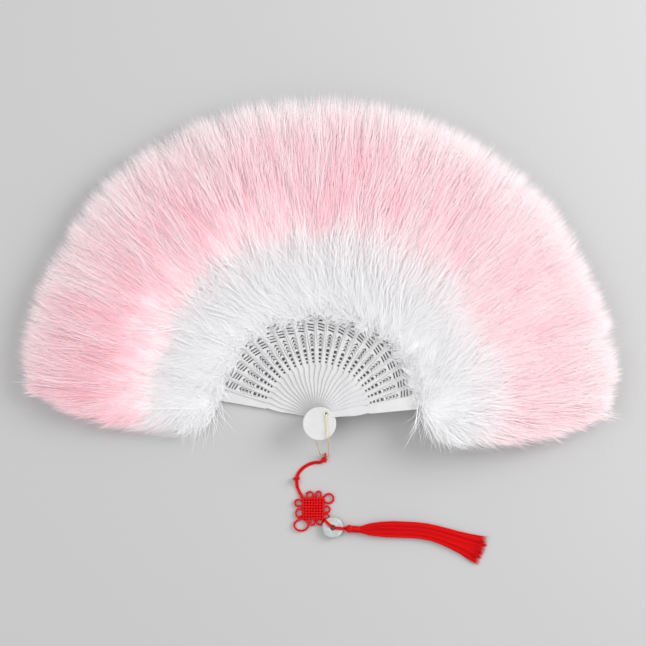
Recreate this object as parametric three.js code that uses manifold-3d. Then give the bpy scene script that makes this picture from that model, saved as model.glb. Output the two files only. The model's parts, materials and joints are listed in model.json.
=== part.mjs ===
// Folding feather fan, lying open and flat: pierced plastic sticks on one pivot pin, a plume on every
// stick, and a cord charm with a knot, a stone ring and a tassel hung from a loop on the front guard.
// Millimetres, +Z up. The origin is on the pivot axis, at the level that the fan rests on.
// +Y runs along the middle stick. The back guard is at the left and lowest, the front guard at the
// right and highest, and every stick lies one layer above its left-hand neighbour.

import * as THREE from "three";
import { mergeVertices } from "three/addons/utils/BufferGeometryUtils.js";
import Module from "manifold-3d";

const wasm = await Module();
wasm.setup();

// Fit between pieces
const fitGap = 0.3; // between pieces that touch on the real fan
const runGap = 0.2; // radial play of the sticks on the pin
const tableGap = 0.1; // between what lies on the table and the table

// Sticks: how many, how far apart, and the stack of layers
const staveCount = 23; // pierced sticks between the two guards
const stickPitch = 6.6; // degrees between neighbours when the fan is open
const staveThickness = 0.65;
const guardThickness = 2.2;

// Stick outline, from the head outward: neck, bulge, waist, pierced blade and plume tongue
const headRadius = 8;
const neckWidth = 5.2;
const bulgeDistance = 33; // from the pivot
const bulgeWidth = 8.2;
const bulgeToWaist = 12.5;
const waistWidth = 6.4;
const waistToBlade = 1.5;
const bladeLength = 49;
const bladeRootWidth = 8.2;
const bladeEndWidth = 12.2;
const guardEndWidth = 13.6;
const shoulderLength = 3.5; // where the blade narrows to the tongue that carries the plume
const tongueWidth = 4.8;
const tongueTipWidth = 2.4;
const tongueLength = 70;

// Openwork in each stave: dots, chevrons, slanted slits, a point, and slits slanted back
const openworkBorder = 2.6; // solid edge on each side of the openwork
const openworkStart = 1.6; // from the root of the blade
const openworkWeb = 1.3;
const dotCount = 4;
const dotSize = 1.7;
const dotGrowth = 0.35;
const chevronCount = 4;
const chevronBand = 1.8; // at its middle; both ends run out to points
const chevronRise = 1.2;
const chevronWeb = 1.4;
const slitBand = 1.3;
const slitRise = 1.4;
const slitCount = 3;
const pointHeight = 2.2;
const backSlitCount = 1;

// Pivot pin
const pinRadius = 1.5;
const pinHeadRadius = 5;
const pinHeadHeight = 1;
const pinCover = 0.9; // left of the front guard over the end of the pin
const pinSides = 16;
const boreSides = 16;

// Round thumb disc on the head of the front guard, off the stick's axis towards its outer edge
const discRadius = 15;
const discAlong = 0.9;
const discAside = 6.2;
const discChamfer = 0.5;
const discSides = 60;

// Eyelet in the disc, and the gold loop through it
const eyeletAlong = 8.3;
const eyeletAside = 1.7;
const eyeletPlay = 0.6; // round the wire in the eyelet
const eyeletWall = 0.5;
const eyeletFlange = 0.6;
const eyeletFlangeHeight = 0.4;
const wireDiameter = 0.9;
const wireSteps = 54;
const eyeletSides = 10;
const loopFront = -57; // degrees, where the loop crosses the disc's rim in front
const loopBack = -100; // degrees, where it comes out from under the disc
const loopBottomPlan = new THREE.Vector2(8.4, -36.7);

// Plumes
const plumeSetback = 1.5; // from the blade's shoulder to the base of the plume
const plumeTipMiddle = 286; // from the pivot
const plumeTipSide = 272;
const plumeCover = 3; // feather above and below a stick's tongue
const plumeFlare = 54; // how far a guard's plume spreads beyond its outer edge
const plumeFlat = 0.62; // share of the width that is level on top and below
const plumeTipLoss = 0.5; // share of the width that is gone at the tip
const plumeTipBlunt = 10; // the higher, the later the width goes
const plumeMiddle = 14.5; // height at which the plumes settle, away from their sticks
const plumeSettle = 0.75; // share of the way to that height
const plumeSettleLength = 78; // along the stick, from the base of the plume
const plumeDepth = 11; // from the settled height to the top of a plume
const plumeDroop = 0.65; // share of that depth that is gone at the tip
const plumeDroopBlunt = 3;
const plumeRise = 0.3; // share of the length in which a plume puffs up to its full height
const flareSkew = 0.55; // below 1 puts the widest part of the flare nearer the base
const flareFullness = 0.6;
const plumeStations = 6;
const guardPlumeStations = 10;
const stationCrowding = 1.5; // above 1 draws the stations towards the tip

// Cord of the charm
const cordDiameter = 1.2;
const strandGap = 0.3; // between the two strands of the doubled cord
const cordSteps = 52;
const tailSteps = 6;
const hitchReach = 3; // how far the cord's bight passes beyond the gold loop
const lumpWidth = 4.86; // the small knot in the doubled cord
const lumpLength = 6.2;

// Knot, stone ring and tassel
const knotCentre = new THREE.Vector2(-0.8, -83.7);
const knotTurn = 2.3; // degrees
const knotStrands = 6; // each way
const knotPitch = 3.5;
const knotCord = 2;
const knotThickness = 4.2;
const earLength = 1.2;
const cornerLoopRadius = 4;
const ringRadius = 9.5;
const ringHole = 2.3;
const ringThickness = 4.2;
const ringRound = 1.5;
const ringDirection = -40; // degrees, from the knot's corner
const tasselDirection = -2; // degrees, from the ring
const tasselBall = 3.2;
const tasselWaist = 2.3;
const tasselCollar = 3.5;
const tasselCollarLength = 6;
const bindingTurns = 3;
const bindingDepth = 0.4;
const headSides = 12;
const ballSteps = 6;
const ballSweep = 0.85; // share of a half turn that the ball shows before its waist
const tasselLength = 112;
const tasselStations = 10;
const tasselFlutes = 9;
const fluteDepth = 0.16; // share of the bundle's half width
const tasselEndWidth = 27;
const tasselEndHeight = 3.5;

// Values that follow from the sizes above
const waistDistance = bulgeDistance + bulgeToWaist;
const bladeStart = waistDistance + waistToBlade;
const bladeEnd = bladeStart + bladeLength;
const tongueStart = bladeEnd + shoulderLength;
const tongueEnd = tongueStart + tongueLength;
const plumeStart = tongueStart + plumeSetback;
const layerPitch = staveThickness + fitGap;
const backGuardBottom = pinHeadHeight + fitGap;
const firstStaveBottom = backGuardBottom + guardThickness + fitGap;
const frontGuardBottom = firstStaveBottom + staveCount * layerPitch;
const frontGuardTop = frontGuardBottom + guardThickness;
const fanSpread = stickPitch * (staveCount + 1);
const frontAngle = 90 - fanSpread / 2;
const halfPitch = THREE.MathUtils.degToRad(stickPitch / 2);
const pinHoleRadius = pinRadius + runGap;
const pinSeatDepth = guardThickness - pinCover;
const wireRadius = wireDiameter / 2;
const cordRadius = cordDiameter / 2;
const cordSpacing = cordDiameter + strandGap;
const tableCord = tableGap + cordRadius; // height of a cord's middle where it lies on the table
const loopBottom = new THREE.Vector3(
  loopBottomPlan.x,
  loopBottomPlan.y,
  tableCord + cordRadius + fitGap + wireRadius,
);

// Materials, one for each mesh
function finish(colour, roughness, metalness) {
  return new THREE.MeshStandardMaterial({ color: colour, roughness, metalness });
}
const whitePlastic = () => finish(0xf3efe8, 0.4, 0);
const feather = () => finish(0xf3cfd6, 0.9, 0);
const gold = () => finish(0xcfa858, 0.3, 1);
const brass = () => finish(0xb08d4a, 0.35, 1);
const steel = () => finish(0xc9c9c6, 0.35, 1);
const redCord = () => finish(0xa81c26, 0.75, 0);
const paleStone = () => finish(0xccd6c8, 0.25, 0);

// Solids for joining and cutting
function toSolid(geometry) {
  const bare = geometry.clone();
  bare.deleteAttribute("normal");
  bare.deleteAttribute("uv");
  const merged = mergeVertices(bare, 1e-4);
  return new wasm.Manifold(
    new wasm.Mesh({
      numProp: 3,
      vertProperties: merged.attributes.position.array,
      triVerts: new Uint32Array(merged.index.array),
    }),
  );
}

function toGeometry(solid) {
  const mesh = solid.getMesh();
  const geometry = new THREE.BufferGeometry();
  geometry.setAttribute("position", new THREE.BufferAttribute(mesh.vertProperties, 3));
  geometry.setIndex(new THREE.BufferAttribute(mesh.triVerts, 1));
  geometry.computeVertexNormals();
  return geometry;
}

// A closed skin over rings of points, each ring counter-clockwise seen from the far end.
function loft(rings) {
  const count = rings[0].length;
  const points = rings.flat();
  const triangles = [];
  for (let k = 0; k < rings.length - 1; k++) {
    for (let j = 0; j < count; j++) {
      const a = k * count + j;
      const b = k * count + ((j + 1) % count);
      triangles.push(a, b, b + count, a, b + count, a + count);
    }
  }
  const last = points.length - count;
  for (let j = 1; j < count - 1; j++) {
    triangles.push(0, j + 1, j);
    triangles.push(last, last + j, last + j + 1);
  }
  const geometry = new THREE.BufferGeometry().setFromPoints(points);
  geometry.setIndex(triangles);
  geometry.computeVertexNormals();
  return geometry;
}

// A round bar along a smooth curve through points. Each curve segment gives the section two sides.
function tube(points, diameter, steps, curveSegments) {
  const section = new THREE.Shape().absarc(0, 0, diameter / 2, 0, Math.PI * 2);
  const extrudePath = new THREE.CatmullRomCurve3(points);
  return new THREE.ExtrudeGeometry(section, { steps, curveSegments, extrudePath });
}

// A turned piece about +Z from a profile of [radius, height] pairs.
function turned(profile, segments) {
  const points = profile.map(([radius, height]) => new THREE.Vector2(radius, height));
  return new THREE.LatheGeometry(points, segments).rotateX(Math.PI / 2);
}

function plate(shape, thickness, curveSegments) {
  return new THREE.ExtrudeGeometry(shape, { depth: thickness, bevelEnabled: false, curveSegments });
}

function closedPath(points) {
  return new THREE.Path(points.map(([x, y]) => new THREE.Vector2(x, y)));
}

function direction(degrees) {
  const angle = THREE.MathUtils.degToRad(degrees);
  return new THREE.Vector2(Math.cos(angle), Math.sin(angle));
}

const fan = new THREE.Group();

function add(name, geometry, material, parent = fan) {
  const mesh = new THREE.Mesh(geometry, material);
  mesh.name = name;
  parent.add(mesh);
  return mesh;
}

// A stick stands along its own +Y with the pivot at its origin.
function stickShape(endWidth) {
  const head = Math.asin(neckWidth / 2 / headRadius);
  const neck = headRadius * Math.cos(head);
  const shape = new THREE.Shape();
  shape.absarc(0, 0, headRadius, Math.PI / 2 + head, Math.PI * 2.5 - head, false);
  const middle = (neck + bulgeDistance) / 2;
  shape.quadraticCurveTo(neckWidth / 2, middle, bulgeWidth / 2, bulgeDistance);
  const turn = (bulgeDistance + waistDistance) / 2;
  shape.quadraticCurveTo(bulgeWidth / 2, turn, waistWidth / 2, waistDistance);
  shape.lineTo(bladeRootWidth / 2, bladeStart);
  shape.lineTo(endWidth / 2, bladeEnd);
  shape.lineTo(tongueWidth / 2, tongueStart);
  shape.lineTo(tongueTipWidth / 2, tongueEnd);
  shape.lineTo(-tongueTipWidth / 2, tongueEnd);
  shape.lineTo(-tongueWidth / 2, tongueStart);
  shape.lineTo(-endWidth / 2, bladeEnd);
  shape.lineTo(-bladeRootWidth / 2, bladeStart);
  shape.lineTo(-waistWidth / 2, waistDistance);
  shape.quadraticCurveTo(-bulgeWidth / 2, turn, -bulgeWidth / 2, bulgeDistance);
  shape.quadraticCurveTo(-neckWidth / 2, middle, -neckWidth / 2, neck);
  return shape;
}

// A polygon hole whose flats clear a round pin of the given radius.
function pinHole(radius, sides) {
  const corner = radius / Math.cos(Math.PI / sides);
  const turn = (2 * Math.PI) / sides;
  return closedPath(
    Array.from({ length: sides }, (_, k) => [
      corner * Math.cos(k * turn),
      corner * Math.sin(k * turn),
    ]),
  );
}

// Half the width that the openwork may take at a distance along the blade.
function openworkHalf(along) {
  const share = (along - bladeStart) / (bladeEnd - bladeStart);
  return THREE.MathUtils.lerp(bladeRootWidth, bladeEndWidth, share) / 2 - openworkBorder;
}

// The openwork as hole outlines. Each row starts where the last one ended, and a row that would
// reach the end of the blade is left out.
function openwork() {
  const holes = [];
  let along = bladeStart + openworkStart;
  const cut = (points, length, web) => {
    if (along + length + web < bladeEnd) holes.push(closedPath(points));
    along += length + web;
  };
  for (let k = 0; k < dotCount; k++) {
    const size = dotSize + k * dotGrowth;
    const half = size / 2;
    cut(
      [
        [-half, along],
        [half, along],
        [half, along + size],
        [-half, along + size],
      ],
      size,
      openworkWeb,
    );
  }
  for (let k = 0; k < chevronCount; k++) {
    const half = openworkHalf(along);
    cut(
      [
        [-half, along],
        [0, along + chevronRise],
        [half, along],
        [0, along + chevronRise + chevronBand],
      ],
      chevronBand,
      chevronWeb,
    );
  }
  along += chevronRise;
  const slit = (rise) => {
    const half = openworkHalf(along);
    cut(
      [
        [-half, along + Math.max(rise, 0)],
        [half, along + Math.max(-rise, 0)],
        [half, along + Math.max(-rise, 0) + slitBand],
        [-half, along + Math.max(rise, 0) + slitBand],
      ],
      slitBand,
      openworkWeb,
    );
  };
  for (let k = 0; k < slitCount; k++) slit(slitRise);
  along += slitRise;
  const half = openworkHalf(along);
  cut(
    [
      [-half, along],
      [half, along],
      [0, along + pointHeight],
    ],
    pointHeight,
    openworkWeb,
  );
  for (let k = 0; k < backSlitCount; k++) slit(-slitRise);
  return holes;
}

// The tongue's outline grown by a gap all round, for the slot that it sits in.
function tongueSlot(thickness) {
  const root = tongueWidth / 2 + fitGap;
  const tip = tongueTipWidth / 2 + fitGap;
  const shape = new THREE.Shape();
  shape.moveTo(-root, plumeStart - shoulderLength);
  shape.lineTo(root, plumeStart - shoulderLength);
  shape.lineTo(tip, tongueEnd + fitGap);
  shape.lineTo(-tip, tongueEnd + fitGap);
  return plate(shape, thickness + 2 * fitGap, 1);
}

// Height of a plume's middle: at its stick near the base, and towards the common height farther out.
function settledHeight(stickMiddle, distance) {
  const share = plumeSettle * THREE.MathUtils.smoothstep(distance, 0, plumeSettleLength);
  return THREE.MathUtils.lerp(stickMiddle, plumeMiddle, share);
}

// A plume: a puffed petal along the stick's +Y, from its base over the tongue to its tip.
// A guard's plume flares on one side, where no neighbour holds it in.
function plumeGeometry(tip, stickBottom, stickThickness, flareSide) {
  const stations = flareSide ? guardPlumeStations : plumeStations;
  const rings = [];
  for (let k = 0; k < stations; k++) {
    const share = 1 - (1 - k / (stations - 1)) ** stationCrowding;
    const along = THREE.MathUtils.lerp(plumeStart, tip, share);
    const taper = 1 - plumeTipLoss * share ** plumeTipBlunt;
    const sector = (along * Math.tan(halfPitch) - fitGap / 2) * taper;
    const swell = Math.abs(Math.sin(Math.PI * share ** flareSkew)) ** flareFullness;
    const flare = sector + plumeFlare * swell;
    const left = flareSide < 0 ? flare : sector;
    const right = flareSide > 0 ? flare : sector;
    const rise = THREE.MathUtils.smoothstep(share, 0, plumeRise);
    const baseTop = stickBottom + stickThickness + plumeCover;
    const baseBottom = Math.max(stickBottom - plumeCover, 0);
    const settled = settledHeight(stickBottom + stickThickness / 2, along - plumeStart);
    const fullTop = settled + plumeDepth * (1 - plumeDroop * share ** plumeDroopBlunt);
    const top = THREE.MathUtils.lerp(baseTop, fullTop, rise);
    const bottom = THREE.MathUtils.lerp(baseBottom, 0, rise);
    const middle = (top + bottom) / 2;
    rings.push([
      new THREE.Vector3(-left, along, middle),
      new THREE.Vector3(-left * plumeFlat, along, top),
      new THREE.Vector3(right * plumeFlat, along, top),
      new THREE.Vector3(right, along, middle),
      new THREE.Vector3(right * plumeFlat, along, bottom),
      new THREE.Vector3(-left * plumeFlat, along, bottom),
    ]);
  }
  const slot = tongueSlot(stickThickness).translate(0, 0, stickBottom - fitGap);
  return toGeometry(toSolid(loft(rings)).subtract(toSolid(slot)));
}

// The front guard: a plain stick with the thumb disc, a blind seat for the pin, a hole for the
// eyelet and a groove in its back for the gold loop.
function frontGuardGeometry() {
  const disc = turned(
    [
      [0, 0],
      [discRadius, 0],
      [discRadius, guardThickness - discChamfer],
      [discRadius - discChamfer, guardThickness],
      [0, guardThickness],
    ],
    discSides,
  ).translate(discAside, discAlong, 0);
  const bore = (radius, depth) =>
    new THREE.CylinderGeometry(radius, radius, depth, boreSides).rotateX(Math.PI / 2);
  const seat = bore(pinRadius + fitGap, 2 * pinSeatDepth);
  const hole = bore(eyeletOuter + fitGap, 4 * guardThickness);
  hole.translate(-eyeletAside, eyeletAlong, 0);
  const exit = new THREE.Vector2(discAside, discAlong).add(grooveExit);
  const start = new THREE.Vector2(-eyeletAside, eyeletAlong);
  const run = exit.clone().sub(start);
  const grooveLength = run.length() + discRadius; // well out past the rim
  const groove = new THREE.BoxGeometry(grooveLength, grooveWidth, 2 * grooveDepth);
  groove.translate(grooveLength / 2, 0, 0);
  groove.rotateZ(run.angle());
  groove.translate(start.x, start.y, 0);
  const body = toSolid(plate(stickShape(guardEndWidth), guardThickness, 6)).add(toSolid(disc));
  const cuts = toSolid(seat).add(toSolid(hole)).add(toSolid(groove));
  return toGeometry(body.subtract(cuts));
}

// The eyelet and the gold loop, in the front guard's own frame where they meet it
const eyeletInner = wireRadius + eyeletPlay;
const eyeletOuter = eyeletInner + eyeletWall;
const grooveWidth = wireDiameter + 2 * fitGap;
const grooveDepth = wireDiameter + 1.5 * fitGap;
const grooveExit = direction(loopBack + 90 - frontAngle).multiplyScalar(discRadius);

const guardTurn = THREE.MathUtils.degToRad(frontAngle - 90);
function fromGuard(x, y) {
  return new THREE.Vector2(x, y).rotateAround(new THREE.Vector2(), guardTurn);
}

// Sticks and plumes, from the back guard round to the front guard
function tipRadius(angle) {
  const share = (angle - 90) / (fanSpread / 2);
  return plumeTipMiddle - (plumeTipMiddle - plumeTipSide) * share ** 2;
}

function place(mesh, angle, height) {
  mesh.rotation.z = THREE.MathUtils.degToRad(angle - 90);
  mesh.position.z = height;
}

const backAngle = frontAngle + fanSpread;
const guardShape = stickShape(guardEndWidth);
guardShape.holes.push(pinHole(pinHoleRadius, 12));
const backGuard = add("back_guard", plate(guardShape, guardThickness, 6), whitePlastic());
place(backGuard, backAngle, backGuardBottom);
const backPlume = plumeGeometry(tipRadius(backAngle), backGuardBottom, guardThickness, -1);
place(add("plume_back", backPlume, feather()), backAngle, 0);

const staveShape = stickShape(bladeEndWidth);
staveShape.holes.push(pinHole(pinHoleRadius, 6), ...openwork());
const staveGeometry = plate(staveShape, staveThickness, 3);
for (let k = 1; k <= staveCount; k++) {
  const number = String(k).padStart(2, "0");
  const angle = backAngle - k * stickPitch;
  const bottom = firstStaveBottom + (k - 1) * layerPitch;
  place(add("stave_" + number, staveGeometry, whitePlastic()), angle, bottom);
  const plume = plumeGeometry(tipRadius(angle), bottom, staveThickness, 0);
  place(add("plume_" + number, plume, feather()), angle, 0);
}

place(add("front_guard", frontGuardGeometry(), whitePlastic()), frontAngle, frontGuardBottom);
const frontPlume = plumeGeometry(tipRadius(frontAngle), frontGuardBottom, guardThickness, 1);
place(add("plume_front", frontPlume, feather()), frontAngle, 0);

// Pivot pin: a flat rivet head under the back guard and a shank up into the front guard
const pinEnd = frontGuardBottom + pinSeatDepth - fitGap;
const pinProfile = [
  [0, 0],
  [pinHeadRadius, 0],
  [pinHeadRadius, pinHeadHeight],
  [pinRadius, pinHeadHeight],
  [pinRadius, pinEnd],
  [0, pinEnd],
];
add("pivot_pin", turned(pinProfile, pinSides), steel());

// Eyelet through the disc
const eyeletAt = fromGuard(-eyeletAside, eyeletAlong);
const flangeBottom = frontGuardTop + fitGap / 3;
const eyeletBottom = frontGuardBottom + grooveDepth + fitGap / 3;
const eyeletProfile = [
  [eyeletInner, eyeletBottom],
  [eyeletOuter, eyeletBottom],
  [eyeletOuter, flangeBottom],
  [eyeletOuter + eyeletFlange, flangeBottom],
  [eyeletOuter + eyeletFlange, flangeBottom + eyeletFlangeHeight],
  [eyeletInner, flangeBottom + eyeletFlangeHeight],
  [eyeletInner, eyeletBottom],
];
const eyelet = turned(eyeletProfile, eyeletSides).translate(eyeletAt.x, eyeletAt.y, 0);
add("loop_eyelet", eyelet, brass());

// Gold loop: up out of the eyelet, over the disc, down round its lowest point, and back up under
// the disc to the eyelet. Both ends stop inside the eyelet.
const discAt = fromGuard(discAside, discAlong);
const wireOver = flangeBottom + eyeletFlangeHeight + fitGap + wireRadius;
const wireUnder = frontGuardBottom + fitGap / 3 + wireRadius;
const eyeletMiddle = (eyeletBottom + flangeBottom) / 2;
const rimFront = discAt.clone().add(direction(loopFront).multiplyScalar(discRadius));
const rimBack = fromGuard(discAside + grooveExit.x, discAlong + grooveExit.y);
const at = (plan, height) => new THREE.Vector3(plan.x, plan.y, height);
const between = (a, b, share, height) => at(a.clone().lerp(b, share), height);
const bight = (dx, dy, dz) => loopBottom.clone().add(new THREE.Vector3(dx, dy, dz));
const wirePoints = [
  at(eyeletAt, eyeletMiddle + fitGap),
  at(eyeletAt, flangeBottom + eyeletFlangeHeight),
  between(eyeletAt, rimFront, 0.05, wireOver),
  between(eyeletAt, rimFront, 0.3, wireOver),
  between(eyeletAt, rimFront, 0.65, wireOver),
  between(eyeletAt, rimFront, 1.02, wireOver),
  bight(2.4, 13.4, 22.5),
  bight(2.7, 9, 14),
  bight(3.1, 5.2, 7.6),
  bight(3.5, 2.5, 3.6),
  bight(2.8, 0.6, 0.9),
  loopBottom,
  bight(-1.9, 0.1, 0),
  bight(-3.8, 1.1, 0.9),
  bight(-4.9, 2.9, 3.2),
  bight(-5.9, 5.8, 7.6),
  bight(-7.2, 10.2, 15),
  bight(-8.3, 13.6, 21.2),
  between(eyeletAt, rimBack, 1.05, wireUnder - wireRadius),
  between(eyeletAt, rimBack, 0.95, wireUnder),
  between(rimBack, eyeletAt, 0.4, wireUnder),
  between(rimBack, eyeletAt, 0.75, wireUnder),
  between(rimBack, eyeletAt, 0.96, wireUnder + wireRadius / 2),
  at(eyeletAt, eyeletBottom + fitGap),
  at(eyeletAt, eyeletMiddle - fitGap),
];
add("gold_loop", tube(wirePoints, wireDiameter, wireSteps, 4), gold());

// Doubled cord: hitched round the gold loop, knotted once, and down to the corner of the knot.
// The two strands run side by side on the table and lie one over the other at the hitch.
const cordRoute = [
  new THREE.Vector2(-16.5, -58.4),
  new THREE.Vector2(-15.7, -53.8),
  new THREE.Vector2(-12.2, -48.6),
  new THREE.Vector2(-6.8, -44.4),
  new THREE.Vector2(-0.6, -42),
  new THREE.Vector2(4.4, -42.2),
  new THREE.Vector2(7.6, -40.6),
];
const hitchOver = loopBottom.z + wireRadius + 1.5 * fitGap + cordRadius;
const hitchUnder = loopBottom.z - wireRadius - fitGap - cordRadius;
function strand(side) {
  const curve = new THREE.SplineCurve(cordRoute);
  const count = cordRoute.length;
  return cordRoute.map((point, k) => {
    const share = k / (count - 1);
    const along = curve.getTangent(share);
    const aside = new THREE.Vector2(-along.y, along.x).multiplyScalar((side * cordSpacing) / 2);
    const lift = side > 0 ? hitchOver - tableCord : 0;
    const height = tableCord + lift * THREE.MathUtils.smoothstep(share, 0.6, 1);
    return at(point.clone().add(aside), height);
  });
}
const hitchPoints = [
  ...strand(1),
  at(loopBottomPlan, hitchOver),
  at(loopBottomPlan.clone().add(new THREE.Vector2(0, hitchReach * 0.6)), hitchOver),
  at(loopBottomPlan.clone().add(new THREE.Vector2(0, hitchReach)), loopBottom.z),
  at(loopBottomPlan.clone().add(new THREE.Vector2(0, hitchReach * 0.6)), hitchUnder),
  at(loopBottomPlan, hitchUnder),
  ...strand(-1).reverse(),
];
const knotCorner = ((knotStrands - 1) / 2) * knotPitch + knotCord / 2;
const knotPoint = (x, y) =>
  new THREE.Vector2(x, y)
    .rotateAround(new THREE.Vector2(), THREE.MathUtils.degToRad(knotTurn))
    .add(knotCentre);
const knotTopLeft = knotPoint(-knotCorner - fitGap, knotCorner + fitGap);
const lumpAt = cordRoute[0];
const lump = new THREE.SphereGeometry(0.5, 8, 6).scale(lumpWidth, lumpLength, lumpWidth);
lump.translate(lumpAt.x, lumpAt.y, lumpWidth / 2);
const tailMiddle = new THREE.Vector2(-15.4, -65.5);
const tailPoints = (side) => {
  const aside = new THREE.Vector2((side * cordSpacing) / 2, 0);
  return [
    at(lumpAt.clone().add(aside), tableCord + cordRadius),
    at(tailMiddle.clone().add(aside), tableCord),
    at(knotTopLeft.clone().add(aside), tableCord),
  ];
};
const hangingCord = toSolid(tube(hitchPoints, cordDiameter, cordSteps, 4))
  .add(toSolid(lump))
  .add(toSolid(tube(tailPoints(-1), cordDiameter, tailSteps, 4)))
  .add(toSolid(tube(tailPoints(1), cordDiameter, tailSteps, 4)));
add("hanging_cord", toGeometry(hangingCord), redCord());

// A square mat with a grid of bumps on both faces, where the strands of a knot pass over each other
function quilted(half, count, thickness, dip) {
  const lines = 2 * count + 1;
  const points = [];
  for (const face of [1, -1]) {
    for (let i = 0; i < lines; i++) {
      for (let j = 0; j < lines; j++) {
        const reach = thickness / 2 - (i % 2 && j % 2 ? 0 : dip);
        const x = half * ((2 * i) / (lines - 1) - 1);
        const y = half * ((2 * j) / (lines - 1) - 1);
        points.push(new THREE.Vector3(x, y, thickness / 2 + face * reach));
      }
    }
  }
  const triangles = [];
  const quad = (a, b, c, d) => triangles.push(a, b, c, a, c, d);
  const top = (i, j) => i * lines + j;
  const low = (i, j) => lines * lines + i * lines + j;
  for (let i = 0; i < lines - 1; i++) {
    for (let j = 0; j < lines - 1; j++) {
      const corners = [[i, j], [i + 1, j], [i + 1, j + 1], [i, j + 1]];
      if ((i + j) % 2) corners.push(corners.shift());
      quad(...corners.map(([u, v]) => top(u, v)));
      quad(...corners.map(([u, v]) => low(u, v)).reverse());
    }
    const end = lines - 1;
    quad(top(i, 0), low(i, 0), low(i + 1, 0), top(i + 1, 0));
    quad(top(i + 1, end), low(i + 1, end), low(i, end), top(i, end));
    quad(top(0, i + 1), low(0, i + 1), low(0, i), top(0, i));
    quad(top(end, i), low(end, i), low(end, i + 1), top(end, i + 1));
  }
  const geometry = new THREE.BufferGeometry().setFromPoints(points);
  geometry.setIndex(triangles);
  return geometry;
}

// Endless knot: a woven square, ears along its sides and two larger corner loops
function knotGeometry() {
  const middle = knotThickness / 2;
  const root = knotCorner - knotCord;
  const offset = (k) => (k - (knotStrands - 1) / 2) * knotPitch;
  const ear = (x, turn) => {
    const points = [
      new THREE.Vector3(x - knotPitch / 2, root, middle),
      new THREE.Vector3(x - knotPitch / 2, knotCorner + earLength, middle),
      new THREE.Vector3(x, knotCorner + earLength + knotPitch / 2, middle),
      new THREE.Vector3(x + knotPitch / 2, knotCorner + earLength, middle),
      new THREE.Vector3(x + knotPitch / 2, root, middle),
    ];
    return tube(points, knotCord, 6, 2).rotateZ(turn);
  };
  const corner = (turn) => {
    const reach = knotCorner + cornerLoopRadius;
    const near = knotCorner + 0.2 * cornerLoopRadius;
    const points = [
      new THREE.Vector3(root, root, middle),
      new THREE.Vector3(near - knotCord, reach, middle),
      new THREE.Vector3(reach, reach, middle),
      new THREE.Vector3(reach, near - knotCord, middle),
      new THREE.Vector3(root, root - knotCord, middle),
    ];
    return tube(points, knotCord, 9, 2).rotateZ(turn);
  };
  let solid = toSolid(quilted(knotCorner, knotStrands, knotThickness, knotCord / 3));
  for (let side = 0; side < 4; side++) {
    for (let k = 1; k < knotStrands - 1; k += 2) {
      const x = (offset(k) + offset(k + 1)) / 2;
      solid = solid.add(toSolid(ear(x, (side * Math.PI) / 2)));
    }
  }
  solid = solid.add(toSolid(corner(0))).add(toSolid(corner(Math.PI)));
  return toGeometry(solid);
}
const knot = add("endless_knot", knotGeometry(), redCord());
knot.position.set(knotCentre.x, knotCentre.y, tableGap);
knot.rotation.z = THREE.MathUtils.degToRad(knotTurn);

// Stone ring, lying on the strands that pass under it
const ringBottom = tableCord + cordRadius + fitGap;
const ringTop = ringBottom + ringThickness;
const ringStandoff = ringRadius + cordDiameter + fitGap;
const ringAt = knotPoint(knotCorner, -knotCorner).add(
  direction(ringDirection).multiplyScalar(ringStandoff),
);
const ringSection = new THREE.Shape();
ringSection.moveTo(ringHole + ringRound, ringBottom);
ringSection.lineTo(ringRadius - ringRound, ringBottom);
const quarter = Math.PI / 2;
const outer = ringRadius - ringRound;
const inner = ringHole + ringRound;
ringSection.absarc(outer, ringBottom + ringRound, ringRound, -quarter, 0, false);
ringSection.absarc(outer, ringTop - ringRound, ringRound, 0, quarter, false);
ringSection.absarc(inner, ringTop - ringRound, ringRound, quarter, 2 * quarter, false);
ringSection.absarc(inner, ringBottom + ringRound, ringRound, 2 * quarter, 3 * quarter, false);
const ringProfile = ringSection.getPoints(1).map((point) => [point.x, point.y]);
add("jade_ring", turned(ringProfile, 20).translate(ringAt.x, ringAt.y, 0), paleStone());

// A strand of cord over the ring's rim, down through its hole and back underneath
function ringLoop(angle, reach) {
  const aside = direction(angle);
  const clear = ringRound + fitGap + cordRadius;
  const point = (distance, height) =>
    at(ringAt.clone().add(aside.clone().multiplyScalar(distance)), height);
  const turn = clear * Math.SQRT1_2;
  const points = [
    point(reach, tableCord + 2 * cordDiameter),
    point(outer + clear, ringTop - 1.2 * ringRound),
    point(outer + turn, ringTop - ringRound + turn),
    point(outer, ringTop - ringRound + clear),
    point((outer + inner) / 2, ringTop - ringRound + clear),
    point(inner, ringTop - ringRound + clear),
    point(inner - turn, ringTop - ringRound + turn),
    point(inner - clear, (ringTop + ringBottom) / 2),
    point(inner - turn, ringBottom + ringRound - turn),
    point(inner, tableCord),
    point((outer + inner) / 2, tableCord),
    point(outer, tableCord),
    point(reach, tableCord),
  ];
  return tube(points, cordDiameter, 24, 4);
}
const knotAngle = ringDirection + 180;
add("ring_loop", ringLoop(knotAngle, ringStandoff - 2 * fitGap), redCord());
const tasselReach = outer + ringRound + 2 * fitGap + cordDiameter;
add("tassel_loop", ringLoop(tasselDirection, tasselReach), redCord());

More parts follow.
